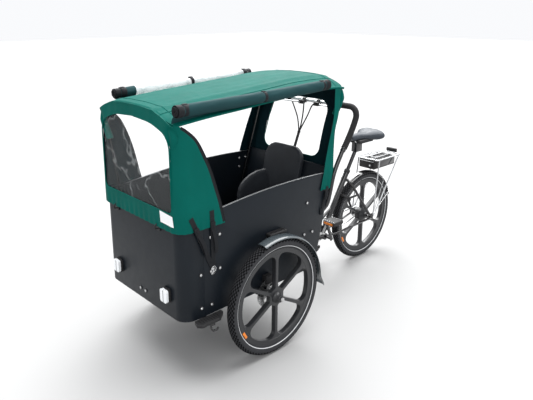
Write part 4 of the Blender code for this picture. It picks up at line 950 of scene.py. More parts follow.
@dataclass
class Wheel:
    """A moulded six-spoke wheel with its knobbly tyre."""

    shop: Shop
    radius: float = WHEEL_RADIUS
    tyre_radius: float = 0.0242
    knob: float = 0.0028
    knobs_round: int = 168
    rows: int = 22
    rim_outer: float = 0.2496
    rim_inner: float = 0.2290
    rim_half: float = 0.0150
    spoke_half: float = 0.0085
    spokes: int = 6
    hub_half: float = 0.045

    def tyre(self) -> Piece:
        """Build the tyre about the origin, with its tread knobs, painted shade in the grooves and
        its pale line.
        """
        ring = self.radius - self.tyre_radius - self.knob
        self.shop.clear()
        bpy.ops.mesh.primitive_torus_add(major_segments=self.knobs_round, minor_segments=self.rows,
                                         major_radius=ring, minor_radius=self.tyre_radius,
                                         rotation=(0.0, pi / 2, 0.0))
        piece = self.shop.settle(bpy.context.object)

        def section(face: Any) -> tuple[int, float]:
            """Return a face's step round the wheel and its angle round the section."""
            x, y, z = face.center
            turn = (math.atan2(z, y) + pi) / (2 * pi)
            return int(turn * self.knobs_round), math.atan2(x, math.hypot(y, z) - ring)

        def knob(face: Any) -> bool:
            """Say whether a face carries a tread knob."""
            step, angle = section(face)
            row = int((angle + pi) / (2 * pi) * self.rows)
            return abs(angle) < radians(66) and (step + row) % 2 == 0

        self.shop.paint(piece, TYRE)
        # Faces between the knobs get painted shade.
        self.shop.paint(piece, GROOVE_SHADE, lambda f: abs(section(f)[1]) < radians(70) and not knob(f))
        self.shop.pick(piece, knob)
        with self.shop.editing(piece):
            bpy.ops.mesh.inset(thickness=0.0011, depth=self.knob, use_individual=True)
        lines = []
        for side in (1, -1):
            spots = [(self.tyre_radius + lift, radians(turn)) for lift, turn in
                     ((-0.001, 120), (0.0003, 120), (0.0003, 128), (-0.001, 128))]
            hoop = self.shop.lathe([(ring + reach * cos(turn), side * reach * sin(turn))
                                    for reach, turn in (spots if side < 0 else reversed(spots))],
                                   ORIGIN, 96)
            lines.append(self.shop.paint(hoop, REFLECTIVE))
        bead = self.shop.lathe([(ring - 0.0235, -0.0150), (ring - 0.0190, -0.0163),
                                (ring - 0.0185, -0.0130), (ring - 0.0185, 0.0130),
                                (ring - 0.0190, 0.0163), (ring - 0.0235, 0.0150)],
                               ORIGIN, 72)
        return self.shop.join([piece, *lines, self.shop.paint(bead, TYRE)])

    def window(self, middle: float) -> list[Flat]:
        """Return the outline of the opening between two spokes."""
        lean = pi / self.spokes
        along, across = Vector((cos(lean), sin(lean))), Vector((sin(lean), -cos(lean)))

        def corner(reach: float, flip: int) -> Vector:
            """Return a point on a spoke's side at a distance from the hub."""
            spot = along * sqrt(reach ** 2 - self.spoke_half ** 2) + across * self.spoke_half
            return Vector((spot.x, flip * spot.y))

        rim = arc((0, 0), self.rim_inner, -radians(14), radians(14), 5)
        corners = [(*corner(0.050, 1), 0.011), (*corner(0.050, -1), 0.011),
                   (*corner(self.rim_inner, -1), 0.034)]
        corners += [(x, y, 0.0) for x, y in rim] + [(*corner(self.rim_inner, 1), 0.034)]
        turn = Matrix.Rotation(middle, 2)
        return [tuple(turn @ Vector(point)) for point in round_corners(corners, 7)]

    def casting(self, hub: float) -> Piece:
        """Build the rim, spokes and hub about the origin."""
        shop, half = self.shop, self.rim_half
        circle = arc((0, 0), self.rim_outer - 0.002, 0, 2 * pi * (1 - 1 / 96), 96)
        step = 2 * pi / self.spokes
        holes = [self.window(pi / 2 + step * (turn + 0.5)) for turn in range(self.spokes)]
        disc = shop.plate([circle, *holes], 2 * half - 0.004, ORIGIN, Plane.YZ, 0.0028, 3)
        edge, well = self.rim_outer, self.rim_inner
        rim = shop.lathe([(edge, -half), (edge + 0.0025, -half - 0.0005),
                          (edge + 0.002, -half + 0.0025), (edge - 0.004, -0.006),
                          (edge - 0.004, 0.006), (edge + 0.002, half - 0.0025),
                          (edge + 0.0025, half + 0.0005), (edge, half),
                          (edge - 0.010, half - 0.001), (edge - 0.020, half - 0.0006),
                          (well - 0.0008, half - 0.0025), (well - 0.0012, 0.0),
                          (well - 0.0008, -half + 0.0025), (edge - 0.020, -half + 0.0006),
                          (edge - 0.010, -half + 0.001)], ORIGIN, 120)
        end = self.hub_half
        body = shop.lathe([(0.0074, -end), (0.017, -end), (0.019, -end + 0.002),
                           (0.020, -end + 0.010), (hub - 0.004, -half - 0.006),
                           (hub, -half - 0.003), (hub + 0.004, 0.0),
                           (hub, half + 0.003), (hub - 0.004, half + 0.006), (0.020, end - 0.010),
                           (0.019, end - 0.002), (0.017, end), (0.0074, end)], ORIGIN, 48)
        wheel = shop.paint(shop.join([disc, rim, body]), WHEEL_GREY)
        bolt = shop.drum((half, 0, 0), (half + 0.005, 0, 0), 0.0032, 0.0008, 6)
        places = [Matrix.Rotation(step * turn, 4, "X") @ Matrix.Translation((0, hub - 0.009, 0))
                  for turn in range(self.spokes)]
        bolts = shop.paint(shop.copies(bolt, places), STEEL)
        reflector = shop.block((half - 0.003, -0.020, self.rim_inner + 0.012),
                               (half + 0.0035, 0.020, self.rim_inner + 0.026), 0.003)
        reflector.data.transform(Matrix.Rotation(radians(120), 4, "X"))
        return shop.join([wheel, bolts, shop.paint(reflector, AMBER)])

    def disc(self, side: int) -> Piece:
        """Build a front brake disc with its drilled ring."""
        ring = arc((0, 0), 0.075, 0, 2 * pi * (1 - 1 / 72), 72)
        bore = arc((0, 0), 0.020, 0, 2 * pi * (1 - 1 / 32), 32)
        holes = [bore]
        for count, reach, size in ((18, 0.067, 0.0026), (18, 0.0595, 0.0026), (6, 0.040, 0.0105)):
            for turn in range(count):
                angle = 2 * pi * (turn + (0.5 if reach == 0.0595 else 0.0)) / count
                holes.append(arc((reach * cos(angle), reach * sin(angle)), size, 0, 1.8 * pi, 10))
        face = side * (WHEEL_X - self.hub_half - 0.0014)
        return self.shop.plate([ring, *holes], 0.0018, (face, 0, WHEEL_RADIUS), Plane.YZ)

    def build(self) -> None:
        """Build the three wheels and both brakes."""
        shop = self.shop
        axles = (("front_left", WHEEL_X, 0.0, 0.030), ("front_right", -WHEEL_X, 0.0, 0.030),
                 ("rear", 0.0, WHEELBASE, 0.048))
        for name, x, y, hub in axles:
            home = Matrix.Translation((x, y, self.radius))
            if x < 0:
                home = home @ Matrix.Rotation(pi, 4, "Z")
            tyre, wheel = self.tyre(), self.casting(hub)
            tyre.data.transform(home)
            wheel.data.transform(home)
            shop.place(tyre, name + "_tread", name + "_tyre", None, True, 40)
            shop.place(wheel, name + "_casting", name + "_wheel", None, True, 35)
        for side, word in SIDES:
            shop.place(self.disc(side), word + "_disc_plate", word + "_brake_disc", STEEL,
                       True, 30)
            shop.refine(word + "_brake_caliper", MATTE_BLACK, 0.003)
            tip = WHEEL_X + self.hub_half + 0.008
            nut = shop.drum((side * (tip - 0.007), 0, WHEEL_RADIUS),
                            (side * (tip + 0.003), 0, WHEEL_RADIUS), 0.0115, 0.0015, 6)
            shop.place(nut, word + "_axle_nut", "chassis", STEEL)


# Cargo box


def rear_wall_y(height: float) -> float:
    """Return Y of the rear panel's outer face at a height."""
    return WALL_FOOT_Y + (height - BOX_BOTTOM) * tan(WALL_LEAN)


def side_top(y: float) -> float:
    """Return the height of the side panel's top edge at Y."""
    return 0.8387 + 0.049 * y - 0.1289 * y * y


@dataclass
class CargoBox:
    """The five coated panels, their screws and fittings."""

    shop: Shop
    side: float = 0.331
    nose: float = 0.502
    bottom: float = BOX_BOTTOM
    height: float = 0.485
    panel: float = 0.012
    corner: float = 0.065
    wrap: float = -0.385

    def plan(self, inset: float) -> list[Flat]:
        """Return the wrapped nose's plan, offset inwards."""
        radius, side = self.corner - inset, self.side - inset
        nose = -self.nose + inset
        left = arc((side - radius, nose + radius), radius, 0, -pi / 2, 18)
        right = [(-x, y) for x, y in reversed(left)]
        return [(side, self.wrap)] + left + right + [(-side, self.wrap)]

    def screw(self) -> Piece:
        """Return a button-head screw on its cup washer, pointing along +X."""
        washer = self.shop.lathe([(0.0, 0.0), (0.0105, 0.0), (0.0103, 0.0016), (0.0088, 0.0026),
                                  (0.0, 0.0026)], ORIGIN, 20)
        head = self.shop.lathe([(0.0, 0.0024), (0.0070, 0.0024), (0.0068, 0.0040),
                                (0.0052, 0.0056), (0.0030, 0.0062), (0.0028, 0.0046),
                                (0.0, 0.0044)], ORIGIN, 18)
        return self.shop.join([self.shop.paint(washer, MATTE_BLACK), self.shop.paint(head, STEEL)])

    def screws(self, name: str, node: str, spots: Sequence[tuple[Point, float]]) -> None:
        """Set screws in a panel.

        Args:
            name: the piece's name.
            node: the panel's CAD node.
            spots: (place, turn about Z in degrees) of each screw.
        """
        places = [Matrix.Translation(place) @ Matrix.Rotation(radians(turn), 4, "Z")
                  for place, turn in spots]
        self.shop.place(self.shop.copies(self.screw(), places), name, node, None, smooth=30)

    def build(self) -> None:
        """Build the panels and everything fixed to them."""
        shop = self.shop
        ring = self.plan(0) + list(reversed(self.plan(self.panel)))
        front = shop.plate([ring], self.height, (0, 0, self.bottom + self.height / 2), Plane.XY,
                           0.0012)
        shop.place(front, "front_shell", "box_front_panel", BOX_PANEL, True, 30)
        edge = self.wrap + 0.0004
        ys = [edge + (rear_wall_y(0.83) - edge) * step / 36 for step in range(37)]
        outline = [(edge, self.bottom)] + [(y, side_top(y)) for y in ys]
        outline.append((rear_wall_y(self.bottom), self.bottom))
        for side, word in SIDES:
            node = f"box_{word}_panel"
            wall = shop.plate([outline], self.panel, (side * (self.side - self.panel / 2), 0, 0),
                              Plane.YZ, 0.0015)
            shop.paint(wall, BOX_PANEL)
            # The upward-facing top edge is painted lighter grey: cut edge plus a painted highlight.
            shop.paint(wall, PANEL_TOP_HIGHLIGHT, lambda face: face.normal.z > 0.55)
            shop.place(wall, word + "_side_shell", node, None, True, 30)
            spots = []
            for height in (0.695, 0.528, 0.362):
                spots += [((side * self.side, y, height), 0 if side > 0 else 180)
                          for y in (-0.403, -0.345, -0.292) if not (y == -0.292 and height < 0.5)]
            self.screws(word + "_front_screws", node, spots)
            spots = [((side * self.side, y, z), 0 if side > 0 else 180)
                     for y, z in ((0.283, 0.528), (0.346, 0.528), (0.26, 0.362), (0.30, 0.70))]
            self.screws(word + "_rear_screws", node, spots)
            inner = [((side * (self.side - self.panel), y, z), 180 if side > 0 else 0)
                     for y in (0.405, 0.455) for z in (0.742, 0.796)]
            self.screws(word + "_inner_screws", node, inner)
            self.ring(side, word)
        self.screws("front_screws", "box_front_panel",
                    [((x, -self.nose, 0.365), -90) for x in (-0.022, 0.022)])
        for node in ("box_rear_panel", "box_floor", "bench"):
            shop.refine(node, BOX_PANEL, 0.0012)
        bracket = shop.block((-0.27, rear_wall_y(0.78) - 0.002, 0.775),
                             (0.27, rear_wall_y(0.78) + 0.004, 0.800), 0.001)
        shop.place(bracket, "rear_top_strip", "box_rear_panel", MATTE_BLACK)

    def ring(self, side: int, word: str) -> None:
        """Build the D ring that the canopy straps pull on."""
        shop = self.shop
        y, z = -0.333, 0.530
        outline = rounded_rectangle((y - 0.011, z - 0.020), (y + 0.011, z + 0.012), 0.005)
        plate = shop.plate([outline], 0.002, (side * (self.side + 0.0014), 0, 0), Plane.YZ, 0.0005)
        loop = [(side * (self.side + 0.006), y + 0.013 * cos(t), z + 0.008 + 0.013 * sin(t))
                for t in (2 * pi * step / 24 for step in range(24))]
        ring = shop.tube(loop, 0.0018, True)
        piece = shop.paint(shop.join([plate, ring]), STEEL)
        shop.place(piece, word + "_strap_ring", f"box_{word}_panel", None)


@dataclass
class Seats:
    """The padded bench cushion, divider and backrest in the box."""

    shop: Shop
    front: float = 0.095
    foot: float = 0.5344

    def stuff(self, pad: Piece, name: str, node: str, voxel: float, cap: float) -> None:
        """Swell a pad, cover it and give its fill.

        Args:
            pad: its closed shape, a little small.
            name, node: the piece's name and the CAD node it stands for.
            voxel, cap: the cloth's mesh size, and the most a point may move.
        """
        pad = self.shop.inflate(pad, voxel, cap)
        self.shop.place(pad, name, node, SEAT, True, 60)

    def build(self) -> None:
        """Build the three pads, each swelled as stuffed cloth."""
        shop = self.shop
        pad = shop.block((-0.302, 0.104, 0.487), (0.302, 0.364, 0.529), 0.014, 3)
        self.stuff(pad, "bench_pad", "bench_cushion", 0.0055, 0.006)
        f, z = self.front + 0.011, self.foot + 0.003
        corners = [(f, z, 0.004), (f, z + 0.160, 0.02), (f + 0.011, 0.738, 0.01),
                   (f + 0.028, 0.764, 0.01), (f + 0.057, 0.786, 0.02), (f + 0.094, 0.804, 0.02),
                   (f + 0.140, 0.816, 0.02), (f + 0.208, 0.820, 0.01), (f + 0.230, 0.780, 0.02),
                   (f + 0.250, z + 0.160, 0.01), (f + 0.236, z, 0.004)]
        divider = shop.plate([round_corners(corners, 4)], 0.022, ORIGIN, Plane.YZ, 0.007, 3)
        self.stuff(divider, "divider_pad", "centre_divider", 0.005, 0.004)
        low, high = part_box("backrest")
        half, tall = (high.x - low.x) / 2 - 0.004, (high.z - low.z) / cos(WALL_LEAN) - 0.016
        corners = [(-half, 0.004, 0.02), (half, 0.004, 0.02), (half, tall, 0.082),
                   (-half, tall, 0.082)]
        back = shop.plate([round_corners(corners, 9)], 0.026, ORIGIN, Plane.XZ, 0.009, 3)
        lean = Matrix.Rotation(-WALL_LEAN, 4, "X")
        base = rear_wall_y(self.foot) - (0.0124 + 0.017) / cos(WALL_LEAN)
        back.data.transform(Matrix.Translation((0, base, self.foot + 0.004)) @ lean)
        self.stuff(back, "backrest_pad", "backrest", 0.005, 0.0045)


@dataclass
class Fittings:
    """Steps, headlights and mudguards."""

    shop: Shop
    side: float = 0.3314

    def steps(self, side: int, word: str) -> None:
        """Build one side's upper and lower step with their grip ribs."""
        shop, x = self.shop, side * self.side
        top = shop.block((x, 0.0, 0.600), (side * (self.side + 0.037), 0.115, 0.617), 0.005)
        ribs = [shop.block((x + side * 0.006, y, 0.6165),
                           (side * (self.side + 0.032), y + 0.005, 0.6195), 0.001, 1)
                for y in (0.012 + 0.0125 * step for step in range(8))]
        shop.place(shop.join([top, *ribs]), word + "_upper_tread", word + "_upper_step",
                   MATTE_BLACK, True)
        reach = self.side + 0.055
        corners = [(side * self.side, -0.445, 0.002), (side * (reach - 0.020), -0.458, 0.010),
                   (side * reach, -0.440, 0.010), (side * reach, -0.338, 0.020),
                   (side * (self.side + 0.020), -0.292, 0.012), (side * self.side, -0.292, 0.002)]
        low = shop.plate([round_corners(corners, 5)], 0.013, (0, 0, 0.3065), Plane.XY, 0.003)
        ribs = [shop.block((x + side * 0.008, y, 0.3125),
                           (side * (reach - 0.010), y + 0.005, 0.316), 0.001, 1)
                for y in (-0.432 + 0.014 * step for step in range(8))]
        shop.place(shop.join([low, *ribs]), word + "_lower_tread", word + "_lower_step",
                   MATTE_BLACK, True)
        hook = [(side * 0.352, -0.372, 0.300), (side * 0.360, -0.372, 0.262),
                (side * 0.366, -0.366, 0.250), (side * 0.372, -0.352, 0.250),
                (side * 0.374, -0.340, 0.262)]
        shop.place(shop.tube(smooth_line(hook, 5), 0.005), word + "_step_hook", "chassis",
                   BLACK_PAINT)

    def headlight(self, side: int, word: str) -> None:
        """Build one headlight: housing, lens and the bar down its middle."""
        shop, x, back = self.shop, side * 0.210, -0.5024
        outer = rounded_rectangle((x - 0.028, 0.388), (x + 0.028, 0.456), 0.012)
        house = shop.plate([outer], 0.013, (0, back - 0.0066, 0), Plane.XZ, 0.003)
        inner = rounded_rectangle((x - 0.025, 0.391), (x + 0.025, 0.453), 0.010)
        lens = shop.plate([inner], 0.014, (0, back - 0.0190, 0), Plane.XZ, 0.006, 4)
        bar = shop.block((x - 0.0016, back - 0.0268, 0.392),
                         (x + 0.0016, back - 0.012, 0.452), 0.0006)
        parts = [shop.paint(piece, finish) for piece, finish in
                 ((house, MATTE_BLACK), (lens, LENS), (bar, MATTE_BLACK))]
        shop.place(shop.join(parts), word + "_lamp", word + "_headlight", None, True)

    def mudguard(self, side: int, word: str) -> None:
        """Build one front mudguard with its rolled edges, flared tail and stay."""
        shop = self.shop
        start, end = radians(-8), radians(108)

        def spot(u: float, v: float) -> Vector:
            """Return the shell's outer face at u along the arc and v across."""
            turn, share = start + (end - start) * u, 2 * v - 1
            flare = 0.026 * (1 - blend_edge(u, 0.0, 0.14)) ** 2
            radius = 0.3180 + flare - 0.0105 * abs(share) ** 3.2
            half = 0.033 + 0.004 * (1 - blend_edge(u, 0.0, 0.10))
            return Vector((side * 0.404 + share * half, radius * cos(turn),
                           WHEEL_RADIUS + radius * sin(turn)))

        shell = shop.grid(64, 14, spot)
        shop.bevel(shop.weld(shop.wall(shell, 0.0022)), 0.0008, 2, 50)
        stay = [(side * x, 0.186, z) for x, z in ((0.334, 0.548), (0.350, 0.556), (0.372, 0.560))]
        strut = shop.tube(smooth_line(stay, 4), 0.0045)
        # The slate grey colour is painted sky reflection on gloss black.
        shop.place(shop.join([shell, strut]), word + "_mudguard_shell", word + "_mudguard",
                   GUARD_PAINTED_REFLECTION, True, 45)

    def build(self) -> None:
        """Build both sides' fittings."""
        for side, word in SIDES:
            self.steps(side, word)
            self.headlight(side, word)
            self.mudguard(side, word)
        self.shop.refine("chassis", BLACK_PAINT, 0.002)


# Canopy


@dataclass(frozen=True)
class WallShape:
    """One canopy end: lines of (height, Y) for its free edge and face, and its corners."""

    edge: tuple[Flat, ...]
    face: tuple[Flat, ...]
    corner: tuple[Flat, ...]


@dataclass
class Canopy:
    """The fabric canopy: roof, both ends, window, rolled sides, straps and poles."""

    shop: Shop
    bottom: float = 0.745
    foot_half: float = 0.3354
    head_half: float = 0.306
    roof_half: float = 0.300
    nose: float = -0.512
    tail: float = 0.612
    cloth: float = 0.0028
    crown: tuple[Flat, ...] = ((-0.512, 1.276), (-0.320, 1.294), (-0.100, 1.309), (0.270, 1.336),
                               (0.440, 1.342), (0.557, 1.338), (0.612, 1.331))
    front: WallShape = WallShape(
        ((0.739, -0.262), (0.880, -0.298), (1.000, -0.332), (1.090, -0.368), (1.150, -0.402),
         (1.190, -0.445), (1.215, -0.485)),
        ((0.7, -0.512), (1.3, -0.512)), ((0.745, 0.060), (1.250, 0.060)))
    rear: WallShape = WallShape(
        ((0.726, 0.396), (0.881, 0.434), (0.996, 0.471), (1.124, 0.515), (1.237, 0.528)),
        ((0.727, 0.478), (0.842, 0.503), (0.947, 0.523), (1.051, 0.552), (1.182, 0.602),
         (1.242, 0.611)), ((0.850, 0.004), (1.100, 0.050), (1.250, 0.050)))

    def roof_height(self, x: float, y: float) -> float:
        """Return the height of the roof's outer face."""
        return read_line(self.crown, y) - 0.060 * (abs(x) / self.roof_half) ** 3

    def half_width(self, height: float) -> float:
        """Return half the canopy's outer width at a height."""
        share = min(max((height - 0.8437) / (1.24 - 0.8437), 0.0), 1.0)
        return self.foot_half + (self.head_half - self.foot_half) * share

    def wall_point(self, shape: WallShape, round_share: float, rise: float) -> Vector:
        """Return a point on a canopy end.

        Args:
            shape: the end.
            round_share: 0 at the left free edge, 1 at the right one.
            rise: 0 at the bottom hem, 1 under the roof.

        Returns:
            The point.
        """
        across = 1.0 - abs(2 * round_share - 1)
        mirror = 1 if round_share <= 0.5 else -1
        height = self.bottom + rise * (1.20 - self.bottom)
        x = y = 0.0
        for _ in range(3):
            half, wing = self.half_width(height), read_line(shape.edge, height)
            flat = read_line(shape.face, height)
            way = 1 if flat > wing else -1
            radius = min(read_line(shape.corner, height), 0.7 * abs(flat - wing))
            run = abs(flat - wing) - radius
            along = across * (run + radius * pi / 2 + half - radius)
            if along <= run:
                x, y = half, wing + way * along
            elif along <= run + radius * pi / 2:
                turn = (along - run) / radius
                x = half - radius + radius * cos(turn)
                y = flat - way * radius + way * radius * sin(turn)
            else:
                x, y = half - radius - (along - run - radius * pi / 2), flat
            limit = self.roof_height(min(x, self.roof_half), y) - 0.002
            height = self.bottom + rise * (limit - self.bottom)
        return Vector((mirror * x, y, height))

    def end(self, shape: WallShape, seed: float) -> Piece:
        """Sew one canopy end as a single curved cloth with soft creases.

        Args:
            shape: the end.
            seed: picks the pattern of creases.

        Returns:
            The cloth.
        """

        def spot(u: float, v: float) -> Vector:
            """Return the cloth's outer face, creased a little."""
            point = self.wall_point(shape, u, v)
            depth = 0.0 if abs(point.x) > 0.3 else point.y - 0.05
            out = Vector((point.x, depth, 0.0)).normalized()
            crease = ripple(Vector((point.x * 1.2, point.y, point.z * 0.28)), 0.045, 0.0016, seed)
            pull = 0.0016 * (1 - blend_edge(v, 0.0, 0.14)) * sin(point.y * 190 + point.x * 150)
            return point + out * (crease + pull)

        piece = self.shop.grid(150, 56, spot)
        return self.shop.weld(self.shop.wall(piece, self.cloth))

    def line(self, piece: Piece) -> None:
        """Give a canopy end its green face and painted shade on its inside faces."""
        self.shop.paint(piece, CANOPY)
        self.shop.paint(piece, CANOPY_INSIDE_SHADE, lambda f: f.normal.x * f.center.x
                        + f.normal.y * (f.center.y - 0.05) < -0.02)

    def along_wall(self, shape: WallShape, height: float, out: float, start: float, end: float,
                   count: int) -> list[Vector]:
        """Return points round a canopy end at one height, moved outwards by out.

        Args:
            shape: the end.
            height: of the points.
            out: distance outwards.
            start, end: shares round the end, 0 to 1.
            count: number of steps.

        Returns:
            The points.
        """
        points = []
        for step in range(count + 1):
            share = start + (end - start) * step / count
            point = self.wall_point(shape, share, (height - self.bottom) / (1.235 - self.bottom))
            away = Vector((point.x, 0, 0)).normalized() if abs(point.x) > 0.30 else \
                Vector((0, -1 if point.y < 0 else 1, 0))
            points.append(Vector((point.x, point.y, height)) + away * out)
        return points

    def front_end(self) -> None:
        """Build the front with its arched window, piping, hem, zips and blank label."""
        shop = self.shop
        front = self.end(self.front, 3.0)
        arch = [(-0.286, 0.828, 0.030), (0.286, 0.828, 0.030), (0.282, 1.168, 0.085),
                (0.150, 1.212, 0.30), (0.0, 1.222, 0.0), (-0.150, 1.212, 0.30),
                (-0.282, 1.168, 0.085)]
        outline = round_corners(arch, 9)
        shop.cut(front, shop.plate([outline], 0.050, (0, self.nose, 0), Plane.XZ))
        self.line(front)
        piece = shop.place(front, "front_cloth", "canopy_front", None, True, 50)
        rim = [(x, self.nose - 0.0012, z) for x, z in outline]
        piping = shop.tube(rim, 0.0030, True)
        hem = [shop.tube(self.along_wall(self.front, height, 0.0012, 0.0, 1.0, 120), 0.0011)
               for height in (0.7515, 0.8135)]
        shop.place(shop.join([piping, *hem]), "front_piping", "canopy_front", CANOPY, smooth=60)

        def pane(u: float, v: float) -> Vector:
            """Return the window film, bowed and wrinkled."""
            x, z = -0.296 + 0.592 * u, 0.816 + 0.385 * v
            if z > 1.16:
                z = min(z, self.roof_height(x, self.nose) - 0.012)
            edge = min(u, 1 - u, v, 1 - v) * 7
            bow = ripple(Vector((x, 0.0, z * 0.6)), 0.09, 0.0055, 9.0) * min(edge, 1.0)
            fine = ripple(Vector((x, 0.3, z)), 0.022, 0.0010, 2.0) * (1 - blend_edge(v, 0.05, 0.35))
            bend = max(abs(x) - (self.half_width(z) - 0.060), 0.0)
            wrap = 0.060 - sqrt(max(0.060 ** 2 - bend ** 2, 0.0))
            return Vector((x, self.nose + wrap + 0.0048 + bow + fine, z))

        film = shop.grid(110, 80, pane)
        shop.wall(film, 0.0006)
        piece = shop.place(film, "front_film", "front_window", CLEAR, True, 60)
        for side, word in SIDES:
            heights = [0.752 + (1.205 - 0.752) * step / 40 for step in range(41)]
            line = [(side * (self.half_width(z) + 0.0012),
                     read_line(self.front.edge, z) - 0.004, z) for z in heights]
            tape = shop.band(line, lambda i: Vector((side, 0, 0)), 0.014, 0.0046)
            teeth = shop.tube([(x + side * 0.0016, y + 0.0075, z) for x, y, z in line], 0.0022)
            shop.place(shop.join([tape, teeth]), word + "_zip", "canopy_front", BINDING, smooth=50)

        def patch(u: float, v: float) -> Vector:
            """Return the blank label's face, wrapped round the corner of the band."""
            point = self.wall_point(self.front, 0.3195 - 0.0862 * u, 0.062 + 0.100 * v)
            return point + Vector((0.0022, -0.0052, 0.0))

        tag = shop.grid(12, 6, patch)
        shop.wall(tag, 0.0008)
        shop.place(tag, "blank_label", "canopy_front", LABEL)
        for x in (-0.195, 0.165):
            hook = [(x, self.nose - 0.004, 0.756), (x, self.nose - 0.012, 0.748),
                    (x, self.nose - 0.012, 0.736), (x, -0.504, 0.730)]
            base = shop.block((x - 0.012, -0.5024, 0.722), (x + 0.012, -0.509, 0.742), 0.002)
            bent = shop.tube(smooth_line(hook, 5), 0.0032)
            shop.place(shop.join([base, bent]), "front_hook_" + ("left" if x > 0 else "right"),
                       "box_front_panel", MATTE_BLACK)

    def area(self, piece: Piece) -> float:
        """Return the area of one face of a thin cloth piece."""
        return sum(face.area for face in piece.data.polygons) / 2

    def rear_end(self) -> None:
        """Build the rear with its rounded opening and piping."""
        shop = self.shop
        rear = self.end(self.rear, 7.0)
        half = 0.218
        outline = round_corners([(-half, 0.884, 0.055), (half, 0.884, 0.055),
                                 (half - 0.004, 1.192, 0.075), (-half + 0.004, 1.192, 0.075)], 9)
        shop.cut(rear, shop.plate([outline], 0.260, (0, 0.560, 0), Plane.XZ))
        self.line(rear)
        piece = shop.place(rear, "rear_cloth", "canopy_rear", None, True, 50)
        rim = [(x, read_line(self.rear.face, z) + 0.0012, z) for x, z in outline]
        piping = shop.tube(rim, 0.0026, True)
        hem = shop.tube(self.along_wall(self.rear, 0.7515, 0.0012, 0.01, 0.99, 90), 0.0011)
        shop.place(shop.join([piping, hem]), "rear_piping", "canopy_rear", CANOPY, smooth=60)

    def roof(self) -> None:
        """Build the roof cloth: crowned, drawn over the bows, with its seams and flaps."""
        shop = self.shop

        def spot(u: float, v: float) -> Vector:
            """Return the roof's outer face."""
            x = self.roof_half * (2 * u - 1)
            inset = 0.020 * max((abs(x) - 0.220) / 0.080, 0.0) ** 2
            y = self.nose + inset + (self.tail - self.nose - 2 * inset) * v
            ridge = 0.0045 * swell(abs(x) - 0.165, 0.020)
            sag = -0.0050 * sin(pi * v) * (1 - (x / self.roof_half) ** 2)
            crease = ripple(Vector((x, y * 0.25, 0)), 0.05, 0.0022, 5.0)
            edge = 0.004 * swell(v, 0.012) + 0.004 * swell(1 - v, 0.012)
            return Vector((x, y, self.roof_height(x, y) + ridge + sag + crease - edge))

        top = shop.grid(90, 120, spot)
        shop.weld(shop.wall(top, self.cloth))
        shop.paint(top, CANOPY)
        # The roof's underside is painted dark as shade.
        shop.paint(top, CANOPY_INSIDE_SHADE, lambda f: f.normal.z < -0.3)
        piece = shop.place(top, "roof_cloth", "canopy_roof", None, True, 60)
        seams = []
        for x in (-0.215, 0.215):
            line = [spot(x / (2 * self.roof_half) + 0.5, step / 80) + Vector((0, 0, 0.0006))
                    for step in range(81)]
            seams.append(shop.tube(line, 0.0016))
        for v in (0.045, 0.955):
            line = [spot(step / 60, v) + Vector((0, 0, 0.0006)) for step in range(61)]
            seams.append(shop.tube(line, 0.0014))
        for v in (0.0, 1.0):
            line = [spot(step / 60, v) + Vector((0, 0, -0.0020)) for step in range(61)]
            seams.append(shop.tube(line, 0.0034))
        shop.place(shop.join(seams), "roof_seams", "canopy_roof", CANOPY, smooth=60)
        for y, word in ((self.nose + 0.016, "front"), (self.tail - 0.016, "rear")):
            top, turn = self.roof_height(0.0, y), 0.075
            half, sink = self.roof_half - 0.007, math.copysign(0.012, -y)
            knots = [(half - 0.030, y + sink, top - 0.210),
                     (half - 0.012, y + sink / 2, top - 0.165)]
            knots += [(half - turn * (1 - cos(t)), y, top - 0.047 - turn + turn * sin(t))
                      for t in (radians(9) * step for step in range(9))]
            knots += [(x, y, self.roof_height(x, y) - 0.0155) for x in (0.18, 0.12, 0.06)]
            line = [*knots, (0.0, y, top - 0.0155)] + [(-x, y, z) for x, y, z in reversed(knots)]
            shop.place(shop.tube(smooth_line(line, 3), 0.0165), word + "_bow_sleeve",
                       "canopy_roof", CANOPY, smooth=60)
        for side, word in SIDES:
            edge = self.roof_half
            line = [(side * (edge + 0.001), y, self.roof_height(edge, y) - 0.004)
                    for y in (self.nose + 0.010 + (self.tail - self.nose - 0.020) * step / 40
                              for step in range(41))]
            hem = shop.tube(line, 0.0062)
            shop.place(hem, word + "_roof_hem", "canopy_roof", CANOPY, smooth=60)
        for side, word in SIDES:
            self.flap(side, word)
            self.roll(side, word)

    def roll_centre(self, side: int, v: float) -> Vector:
        """Return the rolled side's middle line at v along it."""
        if side > 0:
            return Vector((0.318, -0.500 + 0.945 * v, 1.277 + 0.026 * v - 0.004 * sin(pi * v)))
        return Vector((-0.303, -0.425 + 0.895 * v, 1.277 + 0.036 * v))

    def flap(self, side: int, word: str) -> None:
        """Build the strip of cloth from the roof's edge up to the roll."""
        shop = self.shop

        def spot(u: float, v: float) -> Vector:
            """Return the strip, curving up under the roll."""
            centre = self.roll_centre(side, v)
            y = centre.y
            edge = self.roof_height(self.roof_half, y) + 0.001
            turn = radians(200 + 75 * u)
            on_roll = centre + Vector((side * 0.027 * cos(turn), 0.0, 0.027 * sin(turn)))
            start = Vector((side * (self.roof_half - 0.012), y, edge + 0.005))
            share = blend_edge(u, 0.0, 0.6)
            return start.lerp(on_roll, share)

        strip = shop.grid(14, 60, spot)
        shop.weld(shop.wall(strip, 0.0024, 0.0))
        shop.place(strip, word + "_roll_flap", "canopy_roof", CANOPY_DARK, smooth=60)

    def roll(self, side: int, word: str) -> None:
        """Build one rolled-up side: a spiral of cloth and film with three straps."""
        shop = self.shop
        film = side < 0

